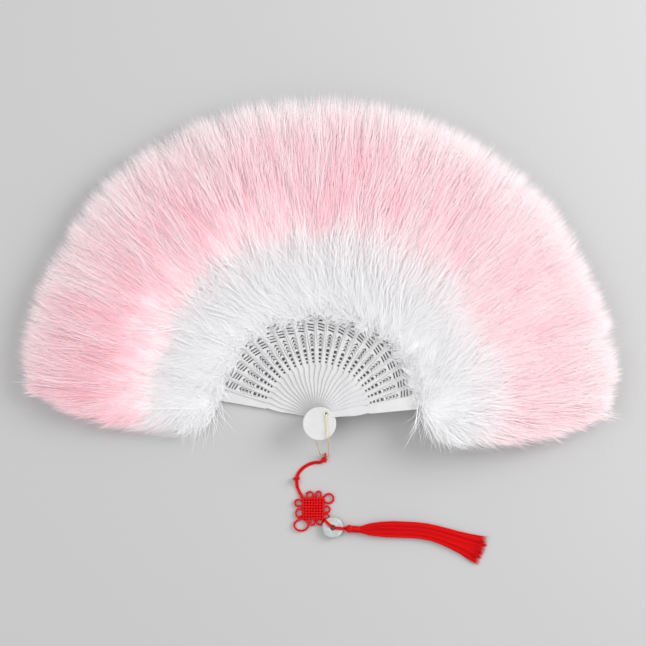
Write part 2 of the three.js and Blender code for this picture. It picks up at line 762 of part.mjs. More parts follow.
// Tassel head, turned about the tassel's own axis: a ball, a waist and a bound collar
const tassel = new THREE.Group();
tassel.position.set(ringAt.x, ringAt.y, tableGap);
tassel.rotation.z = THREE.MathUtils.degToRad(tasselDirection);
fan.add(tassel);
const headStart = tasselReach + 2 * fitGap;
const collarStart = headStart + 2 * tasselBall;
const collarEnd = collarStart + tasselCollarLength;
const headProfile = [[0, headStart]];
for (let k = 1; k < ballSteps; k++) {
  const angle = (k / ballSteps) * Math.PI * ballSweep;
  headProfile.push([
    tasselBall * Math.sin(angle),
    headStart + tasselBall * (1 - Math.cos(angle)),
  ]);
}
headProfile.push([tasselWaist, collarStart - tasselBall * 0.1]);
for (let k = 0; k < bindingTurns; k++) {
  const pitch = tasselCollarLength / bindingTurns;
  headProfile.push([tasselCollar - bindingDepth, collarStart + k * pitch]);
  headProfile.push([tasselCollar, collarStart + (k + 0.5) * pitch]);
}
headProfile.push([tasselCollar - bindingDepth, collarEnd], [0, collarEnd]);
const headGeometry = turned(headProfile, headSides).rotateY(Math.PI / 2);
const headHeight = Math.max(tasselCollar, tasselBall);
add("tassel_head", headGeometry.translate(0, 0, headHeight), redCord(), tassel);

// Tassel skirt: a fluted bundle of threads that flattens and fans out as it lies on the table
const skirtStart = collarEnd + fitGap;
const skirtPath = new THREE.SplineCurve([
  new THREE.Vector2(skirtStart, 0),
  new THREE.Vector2(skirtStart + tasselLength * 0.28, 2.4),
  new THREE.Vector2(skirtStart + tasselLength * 0.55, 2.3),
  new THREE.Vector2(skirtStart + tasselLength * 0.8, -4.4),
  new THREE.Vector2(skirtStart + tasselLength * 0.98, -11),
]);
const skirtRings = [];
for (let k = 0; k < tasselStations; k++) {
  const share = k / (tasselStations - 1);
  const centre = skirtPath.getPoint(share);
  const along = skirtPath.getTangent(share);
  const spread = Math.min(1, share * 4) * 0.45 + 0.55 * share ** 3;
  const halfWidth = THREE.MathUtils.lerp(tasselCollar, tasselEndWidth / 2, spread);
  const halfHeight = THREE.MathUtils.lerp(tasselCollar, tasselEndHeight / 2, share);
  const ring = [];
  for (let j = 0; j < 2 * tasselFlutes; j++) {
    const angle = (j / tasselFlutes) * Math.PI;
    const depth = j % 2 ? 1 - fluteDepth : 1;
    const aside = halfWidth * depth * Math.cos(angle);
    const height = halfHeight * (1 + depth * Math.sin(angle));
    ring.push(new THREE.Vector3(centre.x - aside * along.y, centre.y + aside * along.x, height));
  }
  skirtRings.push(ring);
}
add("tassel_skirt", loft(skirtRings), redCord(), tassel);

export default fan;
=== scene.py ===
import json
import math

import bpy
import numpy as np
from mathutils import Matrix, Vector


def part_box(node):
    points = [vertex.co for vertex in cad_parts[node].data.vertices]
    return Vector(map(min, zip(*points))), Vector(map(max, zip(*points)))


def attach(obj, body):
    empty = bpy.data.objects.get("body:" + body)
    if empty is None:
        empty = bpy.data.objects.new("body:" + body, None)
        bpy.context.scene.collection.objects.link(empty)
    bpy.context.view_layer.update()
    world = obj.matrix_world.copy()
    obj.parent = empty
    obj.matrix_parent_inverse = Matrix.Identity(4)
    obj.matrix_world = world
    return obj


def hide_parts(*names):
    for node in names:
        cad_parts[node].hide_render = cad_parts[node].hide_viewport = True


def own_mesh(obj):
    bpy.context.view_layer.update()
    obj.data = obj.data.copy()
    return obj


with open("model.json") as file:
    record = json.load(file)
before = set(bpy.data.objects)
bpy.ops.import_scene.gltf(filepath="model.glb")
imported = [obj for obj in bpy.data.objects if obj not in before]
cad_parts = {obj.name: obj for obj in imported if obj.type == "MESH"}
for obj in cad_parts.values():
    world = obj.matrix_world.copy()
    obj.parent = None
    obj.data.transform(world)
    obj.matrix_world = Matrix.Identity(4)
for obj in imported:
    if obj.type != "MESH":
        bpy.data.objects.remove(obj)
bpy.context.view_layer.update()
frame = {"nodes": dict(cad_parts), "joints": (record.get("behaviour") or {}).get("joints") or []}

# The feather fan's looks: downy plumes, moulded sticks, and the cord charm, in metres, in the fan's own frame.

mm = 0.001
bpy.ops.object.select_all(action="DESELECT")
scene = bpy.context.scene


# Camera, straight above the open fan

cameraSettings = {
    "height": 2.6,          # above the level that is in the frame's scale
    "level": 0.015,
    "frameWidth": 0.5814,
    "centre": (0.0016, 0.0843),
    "turn": 2.3,            # degrees
    "sensor": 36.0,
    "farClip": 20,
}


def makeCamera(settings):
    x, y = settings["centre"]
    bpy.ops.object.camera_add(location=(x, y, settings["level"] + settings["height"]))
    camera = bpy.context.object
    camera.name = "overheadCamera"
    camera.rotation_euler = (0, 0, math.radians(settings["turn"]))
    camera.data.sensor_width = settings["sensor"]
    camera.data.lens = settings["sensor"] * settings["height"] / settings["frameWidth"]
    camera.data.clip_end = settings["farClip"]
    scene.camera = camera


makeCamera(cameraSettings)
scene.view_settings.view_transform = "Standard"
print("camera ready")


# Node helpers

nodeGap = 200     # nodes stand in a row, in the order they are made


def newMaterial(name):
    material = bpy.data.materials.new(name)
    material.use_nodes = True
    tree = material.node_tree
    return material, tree, tree.nodes["Principled BSDF"]


def fillInputs(tree, node, inputs):
    # A socket is linked, and anything else is set on the input itself.
    for key, value in inputs.items():
        if isinstance(value, bpy.types.NodeSocket):
            tree.links.new(value, node.inputs[key])
        else:
            node.inputs[key].default_value = value


def addNode(tree, kind, inputs, **values):
    node = tree.nodes.new("ShaderNode" + kind)
    node.location = (nodeGap * len(tree.nodes), -nodeGap)
    for key, value in values.items():
        setattr(node, key, value)
    fillInputs(tree, node, inputs)
    return node


def addMath(tree, operation, *values):
    return addNode(tree, "Math", dict(enumerate(values)), operation=operation).outputs[0]


def addRamp(tree, factor, stops):
    ramp = addNode(tree, "ValToRGB", {"Fac": factor})
    line = ramp.color_ramp
    while len(line.elements) < len(stops):
        line.elements.new(0.5)
    for element, (position, colour) in zip(line.elements, stops):
        element.position = position
        element.color = (*colour, 1)
    return ramp.outputs["Color"]


def mixColours(tree, factor, first, second):
    # Of a mix node's sockets, these are the ones for its factor and for colours.
    first, second = ((*colour, 1) if isinstance(colour, tuple) else colour for colour in (first, second))
    return addNode(tree, "Mix", {0: factor, 6: first, 7: second}, data_type="RGBA").outputs[2]


def addRange(tree, value, limits, source=(0, 1)):
    inputs = {"Value": value, "From Min": source[0], "From Max": source[1], "To Min": limits[0], "To Max": limits[1]}
    return addNode(tree, "MapRange", inputs).outputs["Result"]


def addBump(tree, height, relief, **more):
    strength, depth = relief
    inputs = {"Height": height, "Strength": strength, "Distance": depth, **more}
    return addNode(tree, "Bump", inputs).outputs["Normal"]


def objectPlace(tree):
    return addNode(tree, "TexCoord", {}).outputs["Object"]


# Shared effects as node groups

mottleSettings = {"detail": 4, "middle": (0.3, 0.7)}     # the part of the noise that is stretched to 0 to 1


def newGroup(name, inputs, output):
    group = bpy.data.node_groups.new(name, "ShaderNodeTree")
    for label, kind in inputs.items():
        group.interface.new_socket(label, in_out="INPUT", socket_type="NodeSocket" + kind)
    group.interface.new_socket(output, in_out="OUTPUT", socket_type="NodeSocketFloat")
    start, end = group.nodes.new("NodeGroupInput"), group.nodes.new("NodeGroupOutput")
    return group, start.outputs, end.inputs[output]


def makeMottleGroup():
    group, start, value = newGroup("softMottle", {"Vector": "Vector", "Scale": "Float"}, "Value")
    look = {"Vector": start["Vector"], "Scale": start["Scale"], "Detail": mottleSettings["detail"]}
    noise = addNode(group, "TexNoise", look).outputs["Fac"]
    group.links.new(addRange(group, noise, (0, 1), mottleSettings["middle"]), value)
    return group


def makeTwistGroup():
    # Slanted threads on a cord whose UV runs along it in diameters and once round it.
    group, start, height = newGroup("threadTwist", {"UV": "Vector", "Along": "Float", "Round": "Float"}, "Height")
    split = addNode(group, "SeparateXYZ", {0: start["UV"]}).outputs
    along = addMath(group, "MULTIPLY", split["X"], start["Along"])
    around = addMath(group, "MULTIPLY", split["Y"], start["Round"])
    turn = addMath(group, "MULTIPLY", addMath(group, "ADD", along, around), 2 * math.pi)
    ridge = addMath(group, "ABSOLUTE", addMath(group, "SINE", turn))
    group.links.new(ridge, height)
    return group


mottleGroup = makeMottleGroup()
twistGroup = makeTwistGroup()


def addMottle(tree, vector, scale):
    return addNode(tree, "Group", {"Vector": vector, "Scale": scale}, node_tree=mottleGroup).outputs["Value"]


# Mesh helpers

downUv = "OFBake"     # across: each strand's own tint; up: the share of its way outwards
cordUv = "cordUv"     # across: the way along the cord, in diameters; up: once round it
uvEdge = 0.002        # the down's UV keeps this far inside its square
tiny = 1e-12          # keeps a length from being zero
barbProfile = {       # a barb is a closed blade, flat on top, that ends in a point
    "across": (-1.0, 0.0, 1.0), "upward": (0.3, -0.5, 0.3), "flatTo": (0.13, 0.07, 1.0),
}


def insideUv(values):
    return np.clip(values, uvEdge, 1 - uvEdge)


def unit(vectors):
    return vectors / (np.linalg.norm(vectors, axis=-1, keepdims=True) + tiny)


def eased(share):
    return share**2 * (3 - 2 * share)


def fromTable(share, table):
    return np.interp(share, *zip(*table))


def onCircle(degrees):
    return math.cos(math.radians(degrees)), math.sin(math.radians(degrees))


def turnedBy(degrees, x, y):
    c, s = onCircle(degrees)
    return x * c - y * s, x * s + y * c


def spot(x, y, z):
    return np.array((x, y, z)) * mm


def pick(settings, *keys):
    return [settings[key] for key in keys]


def newPiece(name, points, faces, uvName, uvs, smooth):
    mesh = bpy.data.meshes.new(name)
    mesh.from_pydata(points, [], faces)
    layer = mesh.uv_layers.new(name=uvName)
    layer.data.foreach_set("uv", np.array(uvs, dtype=np.float32).ravel())
    mesh.polygons.foreach_set("use_smooth", smooth)
    mesh.update()
    piece = bpy.data.objects.new(name, mesh)
    scene.collection.objects.link(piece)
    return piece


def dress(piece, material, body, replaced=None):
    piece.data.materials.append(material)
    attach(piece, body)
    if replaced:
        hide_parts(replaced)
    return piece


def barbMesh(name, paths, radii, tints, shares):
    count, stations, _ = paths.shape
    tangents = unit(np.gradient(paths, axis=1))
    side = unit(np.cross(np.array(barbProfile["flatTo"]), tangents))
    over = np.cross(tangents, side)
    across, upward = np.array(barbProfile["across"]), np.array(barbProfile["upward"])
    sides, rings = len(across), stations - 1
    offset = side[:, :rings, None] * across[:, None] + over[:, :rings, None] * upward[:, None]
    ringPoints = paths[:, :rings, None] + offset * radii[:, :rings, None, None]
    points = np.concatenate([ringPoints.reshape(count, rings * sides, 3), paths[:, -1:]], axis=1)
    perBarb = rings * sides + 1
    faces = [(0, 2, 1)]
    for ring in range(rings - 1):
        for j in range(sides):
            a, b = ring * sides + j, ring * sides + (j + 1) % sides
            faces += [(a, b, b + sides), (a, b + sides, a + sides)]
    last = (rings - 1) * sides
    faces += [(last + j, last + (j + 1) % sides, perBarb - 1) for j in range(sides)]
    corners = (np.arange(count)[:, None, None] * perBarb + np.array(faces)[None]).reshape(-1)
    stationOf = np.append(np.repeat(np.arange(rings), sides), stations - 1)
    uv = np.stack([tints[:, stationOf], shares[:, stationOf]], axis=2).reshape(-1, 2)[corners]
    triangles = corners.reshape(-1, 3).tolist()
    return newPiece(name, points.reshape(-1, 3).tolist(), triangles, downUv, uv, [False] * len(triangles))


# Cord helpers: a smooth way through points, and round cord swept along it

waySteps = 24                     # between one point and the next
cordSides = 10
firstSide = (0.02, 0.01, 1.0)     # sets where a cord's UV starts round it


def travelled(way):
    return np.concatenate([[0], np.cumsum(np.linalg.norm(np.diff(way, axis=0), axis=1))])


def smoothWay(points, step):
    spots = np.array(points, dtype=float)
    ends = np.vstack([2 * spots[0] - spots[1], spots, 2 * spots[-1] - spots[-2]])
    t = np.linspace(0, 1, waySteps, endpoint=False)[:, None]
    runs = []
    for k in range(len(spots) - 1):
        p0, p1, p2, p3 = ends[k:k + 4]
        runs.append(0.5 * (2 * p1 + (p2 - p0) * t + (2 * p0 - 5 * p1 + 4 * p2 - p3) * t**2
                           + (3 * p1 - p0 - 3 * p2 + p3) * t**3))
    fine = np.vstack(runs + [spots[-1:]])
    gone = travelled(fine)
    stops = np.linspace(0, gone[-1], max(2, round(gone[-1] / step) + 1))
    return np.stack([np.interp(stops, gone, fine[:, axis]) for axis in range(3)], axis=1)


def sweptFrames(way):
    tangents = unit(np.gradient(way, axis=0))
    side = np.cross(firstSide, tangents[0])
    sides = []
    for tangent in tangents:
        side = unit(side - tangent * side.dot(tangent))
        sides.append(side)
    sides = np.array(sides)
    return sides, np.cross(tangents, sides)


def cordMesh(name, ways, radius, sides=cordSides):
    points, faces, uvs = [], [], []
    turns = 2 * math.pi * np.arange(sides)[:, None] / sides
    for way in ways:
        first = len(points)
        across, over = sweptFrames(way)
        gone = travelled(way) / (2 * radius)
        rings = way[:, None] + radius * (np.cos(turns) * across[:, None] + np.sin(turns) * over[:, None])
        points += [tuple(point) for point in rings.reshape(-1, 3)]
        for k in range(len(way) - 1):
            for j in range(sides):
                here, beside = first + k * sides + j, first + k * sides + (j + 1) % sides
                faces.append((here, beside, beside + sides, here + sides))
                low, high = j / sides, (j + 1) / sides
                uvs += [(gone[k], low), (gone[k], high), (gone[k + 1], high), (gone[k + 1], low)]
        for k, last in ((0, False), (len(way) - 1, True)):
            ring = [first + k * sides + j for j in range(sides)]
            faces.append(tuple(ring if last else reversed(ring)))
            uvs += [(gone[k], 0.5)] * sides
    return newPiece(name, points, faces, cordUv, uvs, [len(face) == 4 for face in faces])


# Cord finishes: on the cords, low is a darker colour painted between the threads as shade and high the colour on them;
# on the tassel they are tones that differ from thread to thread

redCordLook = {
    "low": (0.50, 0.000, 0.002), "high": (0.72, 0.004, 0.007), "along": 0.7, "round": 7, "relief": (0.35, 0.05 * mm),
    "shine": {"Roughness": 0.34, "Specular IOR Level": 0.14},
}
goldCordLook = {
    "low": (0.58, 0.46, 0.16), "high": (0.84, 0.73, 0.36), "along": 0.5, "round": 2, "relief": (0.5, 0.08 * mm),
    "shine": {"Metallic": 0.5, "Roughness": 0.30},
}
tasselLook = {
    "low": (0.40, 0.000, 0.001), "high": (0.78, 0.003, 0.004),
    "shine": {"Roughness": 0.40, "Specular IOR Level": 0.08},
}


def makeCordFinish(name, look):
    material, tree, shader = newMaterial(name)
    uv = addNode(tree, "UVMap", {}, uv_map=cordUv).outputs["UV"]
    twist = {"UV": uv, "Along": look["along"], "Round": look["round"]}
    threads = addNode(tree, "Group", twist, node_tree=twistGroup).outputs["Height"]
    # The thread height sets the bump and also the colour: painted shade between the threads, the plain colour on them.
    fillInputs(tree, shader, {
        "Base Color": mixColours(tree, threads, look["low"], look["high"]),
        "Normal": addBump(tree, threads, look["relief"]), **look["shine"],
    })
    return material


def strandTint(tree):
    # The tint and the share of the way outwards that barbMesh puts in the UV.
    uv = addNode(tree, "UVMap", {}, uv_map=downUv).outputs["UV"]
    split = addNode(tree, "SeparateXYZ", {0: uv}).outputs
    return split["X"], split["Y"]


def makeTasselSilk(look):
    material, tree, shader = newMaterial("tasselSilk")
    tint, _ = strandTint(tree)
    colour = mixColours(tree, tint, look["low"], look["high"])
    fillInputs(tree, shader, {"Base Color": colour, **look["shine"]})
    return material


redCord = makeCordFinish("redSatinCord", redCordLook)
goldThread = makeCordFinish("goldThread", goldCordLook)
tasselSilk = makeTasselSilk(tasselLook)

# Gold loop: out of the eyelet, over the disc, round the red cord's hitch and back up under the disc

goldSettings = {
    "diameter": 0.9 * mm,
    "step": 0.8 * mm,
    "eyelet": (7.83, 3.23),
    "throat": (27.8, 27.2),       # heights at which the thread leaves the eyelet and comes back
    "over": 29.1, "rimFront": (10.22, -18.50),
    "under": 26.2, "rimBack": (-0.56, -20.69),
    # shares of the way from the eyelet to the rim, and how far above the run
    "front": ((0, -0.7), (0.05, 0), (0.3, 0), (0.65, 0), (1.02, 0)),
    "back": ((1.05, -0.45), (0.95, 0), (0.6, 0), (0.25, 0), (0.04, 0.22)),
    "bottom": (8.4, -36.7, 2.05),
    "bight": (                    # from the bottom of the loop
        (2.4, 13.4, 22.5), (2.7, 9, 14), (3.1, 5.2, 7.6), (3.5, 2.5, 3.6), (2.8, 0.6, 0.9), (0, 0, 0), (-1.9, 0.1, 0),
        (-3.8, 1.1, 0.9), (-4.9, 2.9, 3.2), (-5.9, 5.8, 7.6), (-7.2, 10.2, 15), (-8.3, 13.6, 21.2),
    ),
}


def goldWay(settings):
    eyelet, front, back, bottom = map(np.array, pick(settings, "eyelet", "rimFront", "rimBack", "bottom"))
    start, finish = settings["throat"]
    points = [spot(*eyelet, start)]
    points += [spot(*(eyelet + (front - eyelet) * share), settings["over"] + z) for share, z in settings["front"]]
    points += [spot(*(bottom + shift)) for shift in settings["bight"]]
    points += [spot(*(eyelet + (back - eyelet) * share), settings["under"] + z) for share, z in settings["back"]]
    return smoothWay(points + [spot(*eyelet, finish)], settings["step"])


goldPath = goldWay(goldSettings)
goldCord = cordMesh("gold_cord", [goldPath], goldSettings["diameter"] / 2)
dress(goldCord, goldThread, "front", "gold_loop")


def layRedCord(name, ways, radius, body="charm", replaced=None, sides=cordSides):
    return dress(cordMesh(name, ways, radius, sides), redCord, body, replaced)


# Doubled red cord: from the square knot's corner through a small overhand knot to the hitch on the gold loop and back

redSettings = {
    "diameter": 1.5 * mm,
    "spacing": 1.6,
    "step": 0.8 * mm,
    "table": 0.85,                # height of a strand's middle on the table
    "route": [(-16.5, -58.4), (-15.7, -53.8), (-12.2, -48.6), (-6.8, -44.4), (-0.8, -42.2), (3.6, -41.7), (6.6, -40.2)],
    "routeStep": 2.5 * mm,
    "lumpShare": 0.16, "lumpHeight": 2.1,     # the start of the route rises into the small knot
    "climbFrom": 0.6,             # one strand climbs over the gold loop from here
    "hitchReach": 3.0, "hitchOver": 3.55,
    "hitchTurn": ((-0.5, 0), (0.5, 0), (0.84, 0.42)),     # share of the reach, and how far in from the strand's run
    "tail": (-15.4, -65.5),
    "knotOut": 1.2, "knotHeight": 1.3,        # where the strands go into the square knot
}
knotSettings = {
    "centre": (-0.8, -83.7),
    "turn": 2.3,
    "lines": 8,
    "pitch": 2.5,
    "overhang": 1.0,
    "cord": 1.95,
    "middle": 2.2,
    "wave": 0.95,
    "step": 0.55 * mm,
    "sides": 8,
    "ears": {                # middle along the edge, half-width and reach of each
        "top": ((-2.8, 2.9, 2.8), (5.1, 2.1, 3.2)),
        "bottom": ((-0.6, 2.1, 2.9), (6.0, 2.7, 2.4)),
        "left": ((-4.3, 3.8, 3.0), (5.0, 3.0, 3.8)),
        "right": ((-7.2, 2.4, 2.2), (-0.9, 2.8, 2.9)),
    },
    "earTurns": (205, 165, 125, 90, 55, 15, -25),
    "earBulge": 2.5,
    "loopSink": 0.3,
    # middle, half-widths and degrees round each corner loop
    "topRight": ((14.3, 8.9), (4.3, 4.3), (150, 110, 65, 20, -25, -70, -115, -150)),
    "bottomLeft": ((-10.6, -15.2), (6.3, 5.0), (40, 0, -40, -85, -130, -175, 140)),
    "tuckOut": 1.03, "tuckHeight": 1.15,
}


def knotSpot(x, y, z):
    cx, cy = knotSettings["centre"]
    x, y = turnedBy(knotSettings["turn"], x, y)
    return spot(cx + x, cy + y, z)


def redWay(settings):
    over, under = settings["hitchOver"], settings["table"]
    route = smoothWay([spot(x, y, under) for x, y in settings["route"]], settings["routeStep"])
    half = settings["spacing"] / 2

    def strand(side):
        tangents = unit(np.gradient(route, axis=0)[:, :2])
        way = route.copy()
        way[:, 0] -= tangents[:, 1] * side * half * mm
        way[:, 1] += tangents[:, 0] * side * half * mm
        share = np.linspace(0, 1, len(way))
        if side > 0:
            climb = np.clip((share - settings["climbFrom"]) / (1 - settings["climbFrom"]), 0, 1)
            way[:, 2] += (over - under) * mm * eased(climb)
        near = np.clip(1 - share / settings["lumpShare"], 0, 1)
        way[:, 2] += (settings["lumpHeight"] - under) * mm * eased(near)
        return list(way[:-1])

    x, y = settings["tail"]
    edge = knotSettings["pitch"] * (knotSettings["lines"] - 1) / 2
    out, height = settings["knotOut"], settings["knotHeight"]
    first = [knotSpot(-edge, edge + out, height), spot(x + half, y, under)]
    last = [spot(x - half, y, under), knotSpot(-edge - out, edge, height)]
    upper = [(share, over - inward) for share, inward in settings["hitchTurn"]]
    lower = [(share, under + inward) for share, inward in settings["hitchTurn"]]
    turn = lower + [(1, (over + under) / 2)] + upper[::-1]
    atX, atY, _ = goldSettings["bottom"]
    hitch = [spot(atX, atY + settings["hitchReach"] * share, z) for share, z in turn]
    return smoothWay(first + strand(-1) + hitch + strand(1)[::-1] + last, settings["step"])


redPath = redWay(redSettings)
redRadius = redSettings["diameter"] / 2
hangingCord = layRedCord("hanging_red_cord", [redPath], redRadius, replaced="hanging_cord")

# Turns of cord that bind the two strands below the gold loop

hitchSettings = {
    "centre": (7.6, -39.4), "along": (0.45, 0.89), "turns": 3, "pitch": 1.25, "step": 0.5 * mm,
    "arch": [(-1.5, 0.75), (-1.85, 1.9), (-1.5, 3.5), (0, 4.6), (1.5, 3.5), (1.85, 1.9), (1.5, 0.75)],
}


def hitchWays(settings):
    centre, along = np.array(settings["centre"]), np.array(settings["along"])
    across = np.array((-along[1], along[0]))
    ways = []
    for k in range(settings["turns"]):
        middle = centre + along * (k - (settings["turns"] - 1) / 2) * settings["pitch"]
        arch = [spot(*(middle + across * aside), z) for aside, z in settings["arch"]]
        ways.append(smoothWay(arch, settings["step"]))
    return ways


hitchTurns = layRedCord("hitch_turns", hitchWays(hitchSettings), redRadius)

# The small overhand knot in the doubled cord, a trefoil pulled tight

overhandSettings = {
    "centre": (-16.5, -58.4, 3.1), "size": (1.3, 1.45, 0.85), "cord": 1.6, "turn": 12,
    "stations": 72, "loops": 1.15, "crossing": 1.9,
}


def overhandWay(settings):
    turns = np.linspace(0, 2 * math.pi, settings["stations"])
    sx, sy, sz = settings["size"]
    x = (np.sin(turns) + settings["loops"] * np.sin(2 * turns)) * sx
    y = (np.cos(turns) - settings["loops"] * np.cos(2 * turns)) * sy
    z = -settings["crossing"] * np.sin(3 * turns) * sz
    return (np.stack([*turnedBy(settings["turn"], x, y), z], axis=1) + settings["centre"]) * mm


overhandKnot = layRedCord("overhand_knot", [overhandWay(overhandSettings)], overhandSettings["cord"] / 2 * mm)


# Square knot: lines of cord woven over and under, drawn out in ears on each side and two corner loops

def knotWays(settings):
    lines, pitch, middle, wave = pick(settings, "lines", "pitch", "middle", "wave")
    at = [(k - (lines - 1) / 2) * pitch for k in range(lines)]
    edge = at[-1] + settings["overhang"]
    loopHeight = middle - settings["loopSink"]

    def run(k, first):
        heights = [middle + first * wave * (-1) ** (k + j) for j in range(lines)]
        return [(-edge, middle), *zip(at, heights), (edge, middle)]

    def upright(k):
        return [(at[k], along, z) for along, z in run(k, 1)]

    def level(k):
        return [(along, at[k], z) for along, z in run(k, -1)]

    def ear(side, which, sign=1):
        # Outside the named edge, towards its end (1) or its start (-1).
        centre, half, out = settings["ears"][side][which]
        way = []
        for degrees in settings["earTurns"]:
            x, y = onCircle(degrees)
            along, outward = centre + sign * half * x, edge + out + settings["earBulge"] * y
            way.append({"top": (along, outward), "bottom": (along, -outward),
                        "left": (-outward, along), "right": (outward, along)}[side] + (loopHeight,))
        return way

    def cornerLoop(corner):
        (cx, cy), (width, height), turns = settings[corner]
        return [(cx + width * x, cy + height * y, loopHeight) for x, y in map(onCircle, turns)]

    def tuck(way):
        x, y, _ = way[-1]
        return way + [(x * settings["tuckOut"], y * settings["tuckOut"], settings["tuckHeight"])]

    ways = [
        tuck(upright(3) + ear("top", 0, -1) + upright(1)[::-1]),
        tuck(upright(2)[::-1] + ear("bottom", 0) + upright(4) + ear("top", 1) + upright(6)[::-1]),
        upright(5)[::-1] + ear("bottom", 1) + upright(7) + cornerLoop("topRight") + level(7)[::-1],
        tuck(upright(0)[::-1] + cornerLoop("bottomLeft") + level(0) + ear("right", 0) + level(1)[::-1]
             + ear("left", 0) + level(3)),
        tuck(level(2) + ear("right", 1) + level(4)[::-1] + ear("left", 1) + level(6)),
        tuck(level(5)),
    ]
    return [smoothWay([knotSpot(*point) for point in way], settings["step"]) for way in ways]


squareKnot = layRedCord("square_knot", knotWays(knotSettings), knotSettings["cord"] / 2 * mm,
                        replaced="endless_knot", sides=knotSettings["sides"])

# Stone ring, and the doubled cords that pass over its face and through its hole

ringSettings = {
    "centre": (17.76, -100.12),
    "outer": 9.5, "hole": 2.3, "bottom": 1.6, "top": 5.8, "round": 1.5,
    "cord": 1.35, "spacing": 1.55, "step": 0.6 * mm,
    "gap": 0.25, "tableGap": 0.1,      # between cord and stone, and between cord and table
    "rimDrop": 0.3, "startHeight": 3.1,
    "knotTurn": 140, "knotReach": 12.0,
    "tasselTurn": -2, "tasselReach": 12.1,
}
roundSettings = {"vertices": 72, "flatNormal": 0.9, "segments": 6, "sharp": 40}     # for every turned ring
stoneLook = {
    "clouds": 160, "veins": 620, "rough": (0.32, 0.5),
    "stops": [(0.0, (0.36, 0.44, 0.40)), (0.5, (0.46, 0.50, 0.48)), (1.0, (0.58, 0.60, 0.58))],
    "glow": {"Subsurface Weight": 0.35, "Subsurface Radius": (1.0, 1.1, 1.0), "Subsurface Scale": 0.0015},
    "coat": 0.1,
}


def soften(piece, width, segments, sharp):
    bevel = piece.modifiers.new("soften", "BEVEL")
    bevel.width = width
    bevel.segments = segments
    bevel.limit_method = "ANGLE"
    bevel.angle_limit = math.radians(sharp)
    return bevel


def joined(piece, other):
    bpy.ops.object.select_all(action="DESELECT")
    other.select_set(True)
    piece.select_set(True)
    bpy.context.view_layer.objects.active = piece
    bpy.ops.object.join()
    return piece


def makeRing(name, settings):
    bpy.ops.object.select_all(action="DESELECT")
    x, y = settings["centre"]
    height = settings["top"] - settings["bottom"]
    bpy.ops.mesh.primitive_cylinder_add(
        vertices=roundSettings["vertices"], radius=settings["outer"] * mm, depth=height * mm)
    piece = bpy.context.object
    piece.name = name
    bpy.ops.object.mode_set(mode="EDIT")
    bpy.ops.mesh.select_mode(type="FACE")
    bpy.ops.mesh.select_all(action="DESELECT")
    bpy.ops.object.mode_set(mode="OBJECT")
    for face in piece.data.polygons:
        face.select = abs(face.normal.z) > roundSettings["flatNormal"]
    bpy.ops.object.mode_set(mode="EDIT")
    bpy.ops.mesh.inset(thickness=(settings["outer"] - settings["hole"]) * mm)
    bpy.ops.mesh.bridge_edge_loops()
    bpy.ops.mesh.select_all(action="SELECT")
    bpy.ops.transform.translate(value=spot(x, y, (settings["top"] + settings["bottom"]) / 2))
    bpy.ops.mesh.normals_make_consistent(inside=False)
    bpy.ops.object.mode_set(mode="OBJECT")
    soften(piece, settings["round"] * mm, roundSettings["segments"], roundSettings["sharp"])
    bpy.ops.object.modifier_apply(modifier="soften")
    bpy.ops.object.shade_smooth_by_angle(angle=math.radians(roundSettings["sharp"]))
    return piece


def makeStone(look):
    material, tree, shader = newMaterial("paleStone")
    place = objectPlace(tree)
    clouds = addMottle(tree, place, look["clouds"])
    veins = addMottle(tree, place, look["veins"])
    fillInputs(tree, shader, {
        "Base Color": addRamp(tree, clouds, look["stops"]),
        "Roughness": addRange(tree, veins, look["rough"]),
        "Coat Weight": look["coat"], **look["glow"],
    })
    return material


stoneRing = makeRing("stone_ring", ringSettings)
dress(stoneRing, makeStone(stoneLook), "charm", "jade_ring")


def ringWays(settings, degrees, reach):
    # Two strands side by side: over the rim, down the hole and back underneath.
    out = np.array(onCircle(degrees))
    aside = np.array((-out[1], out[0]))
    half, rim = settings["cord"] / 2, settings["round"]
    clear = rim + settings["gap"] + half
    bend = clear * math.sqrt(0.5)
    outer, inner = settings["outer"] - rim, settings["hole"] + rim
    top, bottom = settings["top"] - rim, settings["bottom"] + rim
    table = half + settings["tableGap"]
    profile = [
        (reach, settings["startHeight"]), (outer + clear, top - settings["rimDrop"]), (outer + bend, top + bend),
        (outer, top + clear), ((outer + inner) / 2, top + clear), (inner, top + clear), (inner - bend, top + bend),
        (inner - clear, (top + bottom) / 2), (inner - bend, bottom - bend), (inner, table),
        ((outer + inner) / 2, table), (outer, table), (reach, table),
    ]
    ways = []
    for side in (-1, 1):
        middle = np.array(settings["centre"]) + aside * side * settings["spacing"] / 2
        ways.append(smoothWay([spot(*(middle + out * distance), z) for distance, z in profile], settings["step"]))
    return ways


def layRingCord(name, end, body, replaced):
    ways = ringWays(ringSettings, ringSettings[end + "Turn"], ringSettings[end + "Reach"])
    return layRedCord(name, ways, ringSettings["cord"] / 2 * mm, body, replaced)


ringCord = layRingCord("ring_cord", "knot", "charm", "ring_loop")
layRingCord("tassel_cord", "tassel", "tassel", "tassel_loop")
print("cords, knot and ring ready")

# Tassel: a ball of thread, a bound neck and a long skirt of silk threads that fans out on the table

